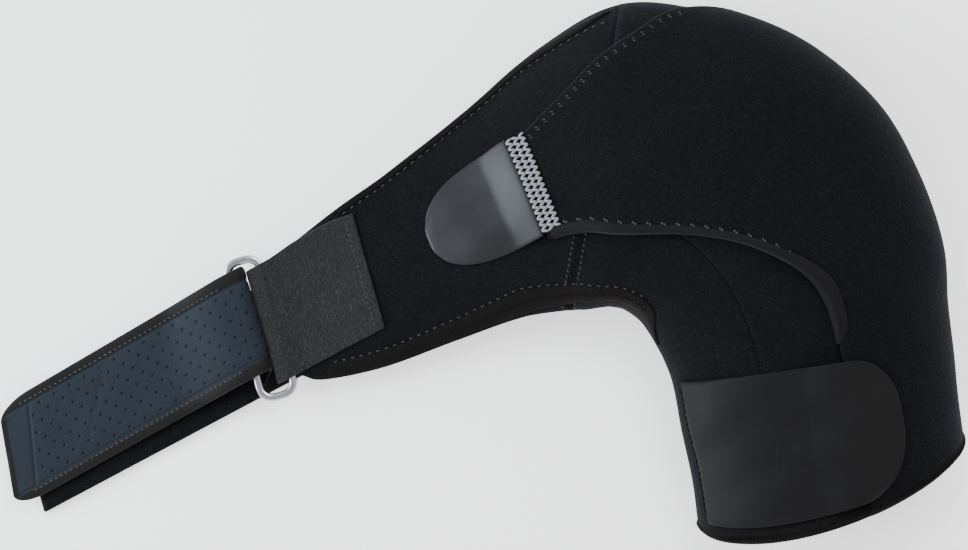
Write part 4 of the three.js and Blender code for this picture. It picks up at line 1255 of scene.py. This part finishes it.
def add_pocket():
    half_width = PACK_HALF_WIDTH + POCKET_WALL
    mouth = -PACK_HALF_LENGTH + 14
    end = PACK_HALF_LENGTH + POCKET_WALL
    lowest = PACK_BOTTOM + 1.6

    def liner(u, v, d):
        u, v, d = np.broadcast_arrays(u, v, d)
        along = lerp(mouth, end, u)
        across = half_width * (2 * v - 1)
        side_wall = smoothstep(half_width - np.abs(across), 0, POCKET_WALL)
        end_wall = smoothstep(end - along, 0, POCKET_WALL)
        z = lerp(lowest, POCKET_TOP, np.minimum(side_wall, end_wall))
        return arm_place(along, across, z + 0.5 + d)

    made = ply("pocket_liner", liner, 0.8, 60, 70, [LINING])
    # each sloping wall is longer than the width it spans
    settle(made, "wrap", "pocket_liner", slot="lining_mesh")

    def binding(u, v, d):
        u, v, d = np.broadcast_arrays(u, v, d)
        across = (half_width - 9) * (2 * v - 1)
        crown = 0.4 * np.sin(np.pi * np.clip(u, 0, 1)) ** 0.6
        return arm_place(mouth + 7 * u, across, POCKET_TOP + 1.6 + crown + d)

    made = ply("pocket_mouth_binding", binding, 0.9, 12, 60, [BINDING])
    settle(made, "wrap", "pocket_mouth_binding", slot="binding_fabric")


# ---- Stage ----


def add_stage():
    floor_material, tree, shader, place = new_material("floor")
    grain = noise(tree, place, 3.0, 2.0, 0.5)
    settings = {"Base Color": mix(tree, grain, grey(0.88), grey(0.92)), "Roughness": 0.9,
                "Emission Color": (1, 1, 1, 1), "Emission Strength": 1.0}
    for key, value in settings.items():
        plug(tree, shader.inputs[key], value)
    corners = [(x, y, FLOOR_Z) for y in (-FLOOR_REACH, FLOOR_REACH) for x in (-FLOOR_REACH, FLOOR_REACH)]
    mesh_object("floor", corners, [[0, 1, 3, 2]], [floor_material])

    world = bpy.data.worlds.new("studio")
    bpy.context.scene.world = world
    world.use_nodes = True
    sky = world.node_tree
    direction = sky.nodes.new("ShaderNodeTexCoord").outputs["Generated"]
    upness = node(sky, "ShaderNodeSeparateXYZ", Vector=direction).outputs["Z"]
    glow = ramp(sky, upness, [(0.0, (1.0, 0.98, 0.96)), (0.75, grey(1.0)), (1.0, (0.55, 0.58, 0.63))])
    sky.links.new(glow, sky.nodes["Background"].inputs["Color"])
    sky.nodes["Background"].inputs["Strength"].default_value = 1.0

    for name, where, target, size, power, colour in (
            ("key", (0.6, 1.2, 1.9), (0.05, 0.0, 0.0), (1.2, 1.2), 34, (0.92, 0.95, 1.0)),
            ("left", (-1.1, 0.03, 0.56), (0.0, 0.05, 0.04), (0.8, 0.7), 22, (0.84, 0.93, 1.0)),
            ("low_fill", (0.2, -1.5, 0.8), (0.1, 0.0, 0.0), (1.6, 0.6), 7, (1.0, 0.9, 0.84))):
        data = bpy.data.lights.new(name, "AREA")
        data.shape = "RECTANGLE"
        data.size, data.size_y = size
        data.energy = power
        data.color = colour
        lamp = bpy.data.objects.new(name, data)
        bpy.context.scene.collection.objects.link(lamp)
        lamp.location = where
        lamp.rotation_euler = (Vector(target) - Vector(where)).to_track_quat("-Z", "Y").to_euler()

    camera_data = bpy.data.cameras.new("camera")
    camera_data.sensor_width = SENSOR_WIDTH
    camera_data.lens = SENSOR_WIDTH * CAMERA_HEIGHT / VIEW_WIDTH
    camera = bpy.data.objects.new("camera", camera_data)
    bpy.context.scene.collection.objects.link(camera)
    camera.location = (*CAMERA_SPOT, CAMERA_HEIGHT)
    bpy.context.scene.camera = camera


for add in (add_panels, add_flap, add_bindings, add_cuff_hem, add_flap_tab, add_cuff_tab, add_ring,
            add_keeper, add_torso_strap, add_free_end, add_pack, add_pocket, add_stage):
    add()
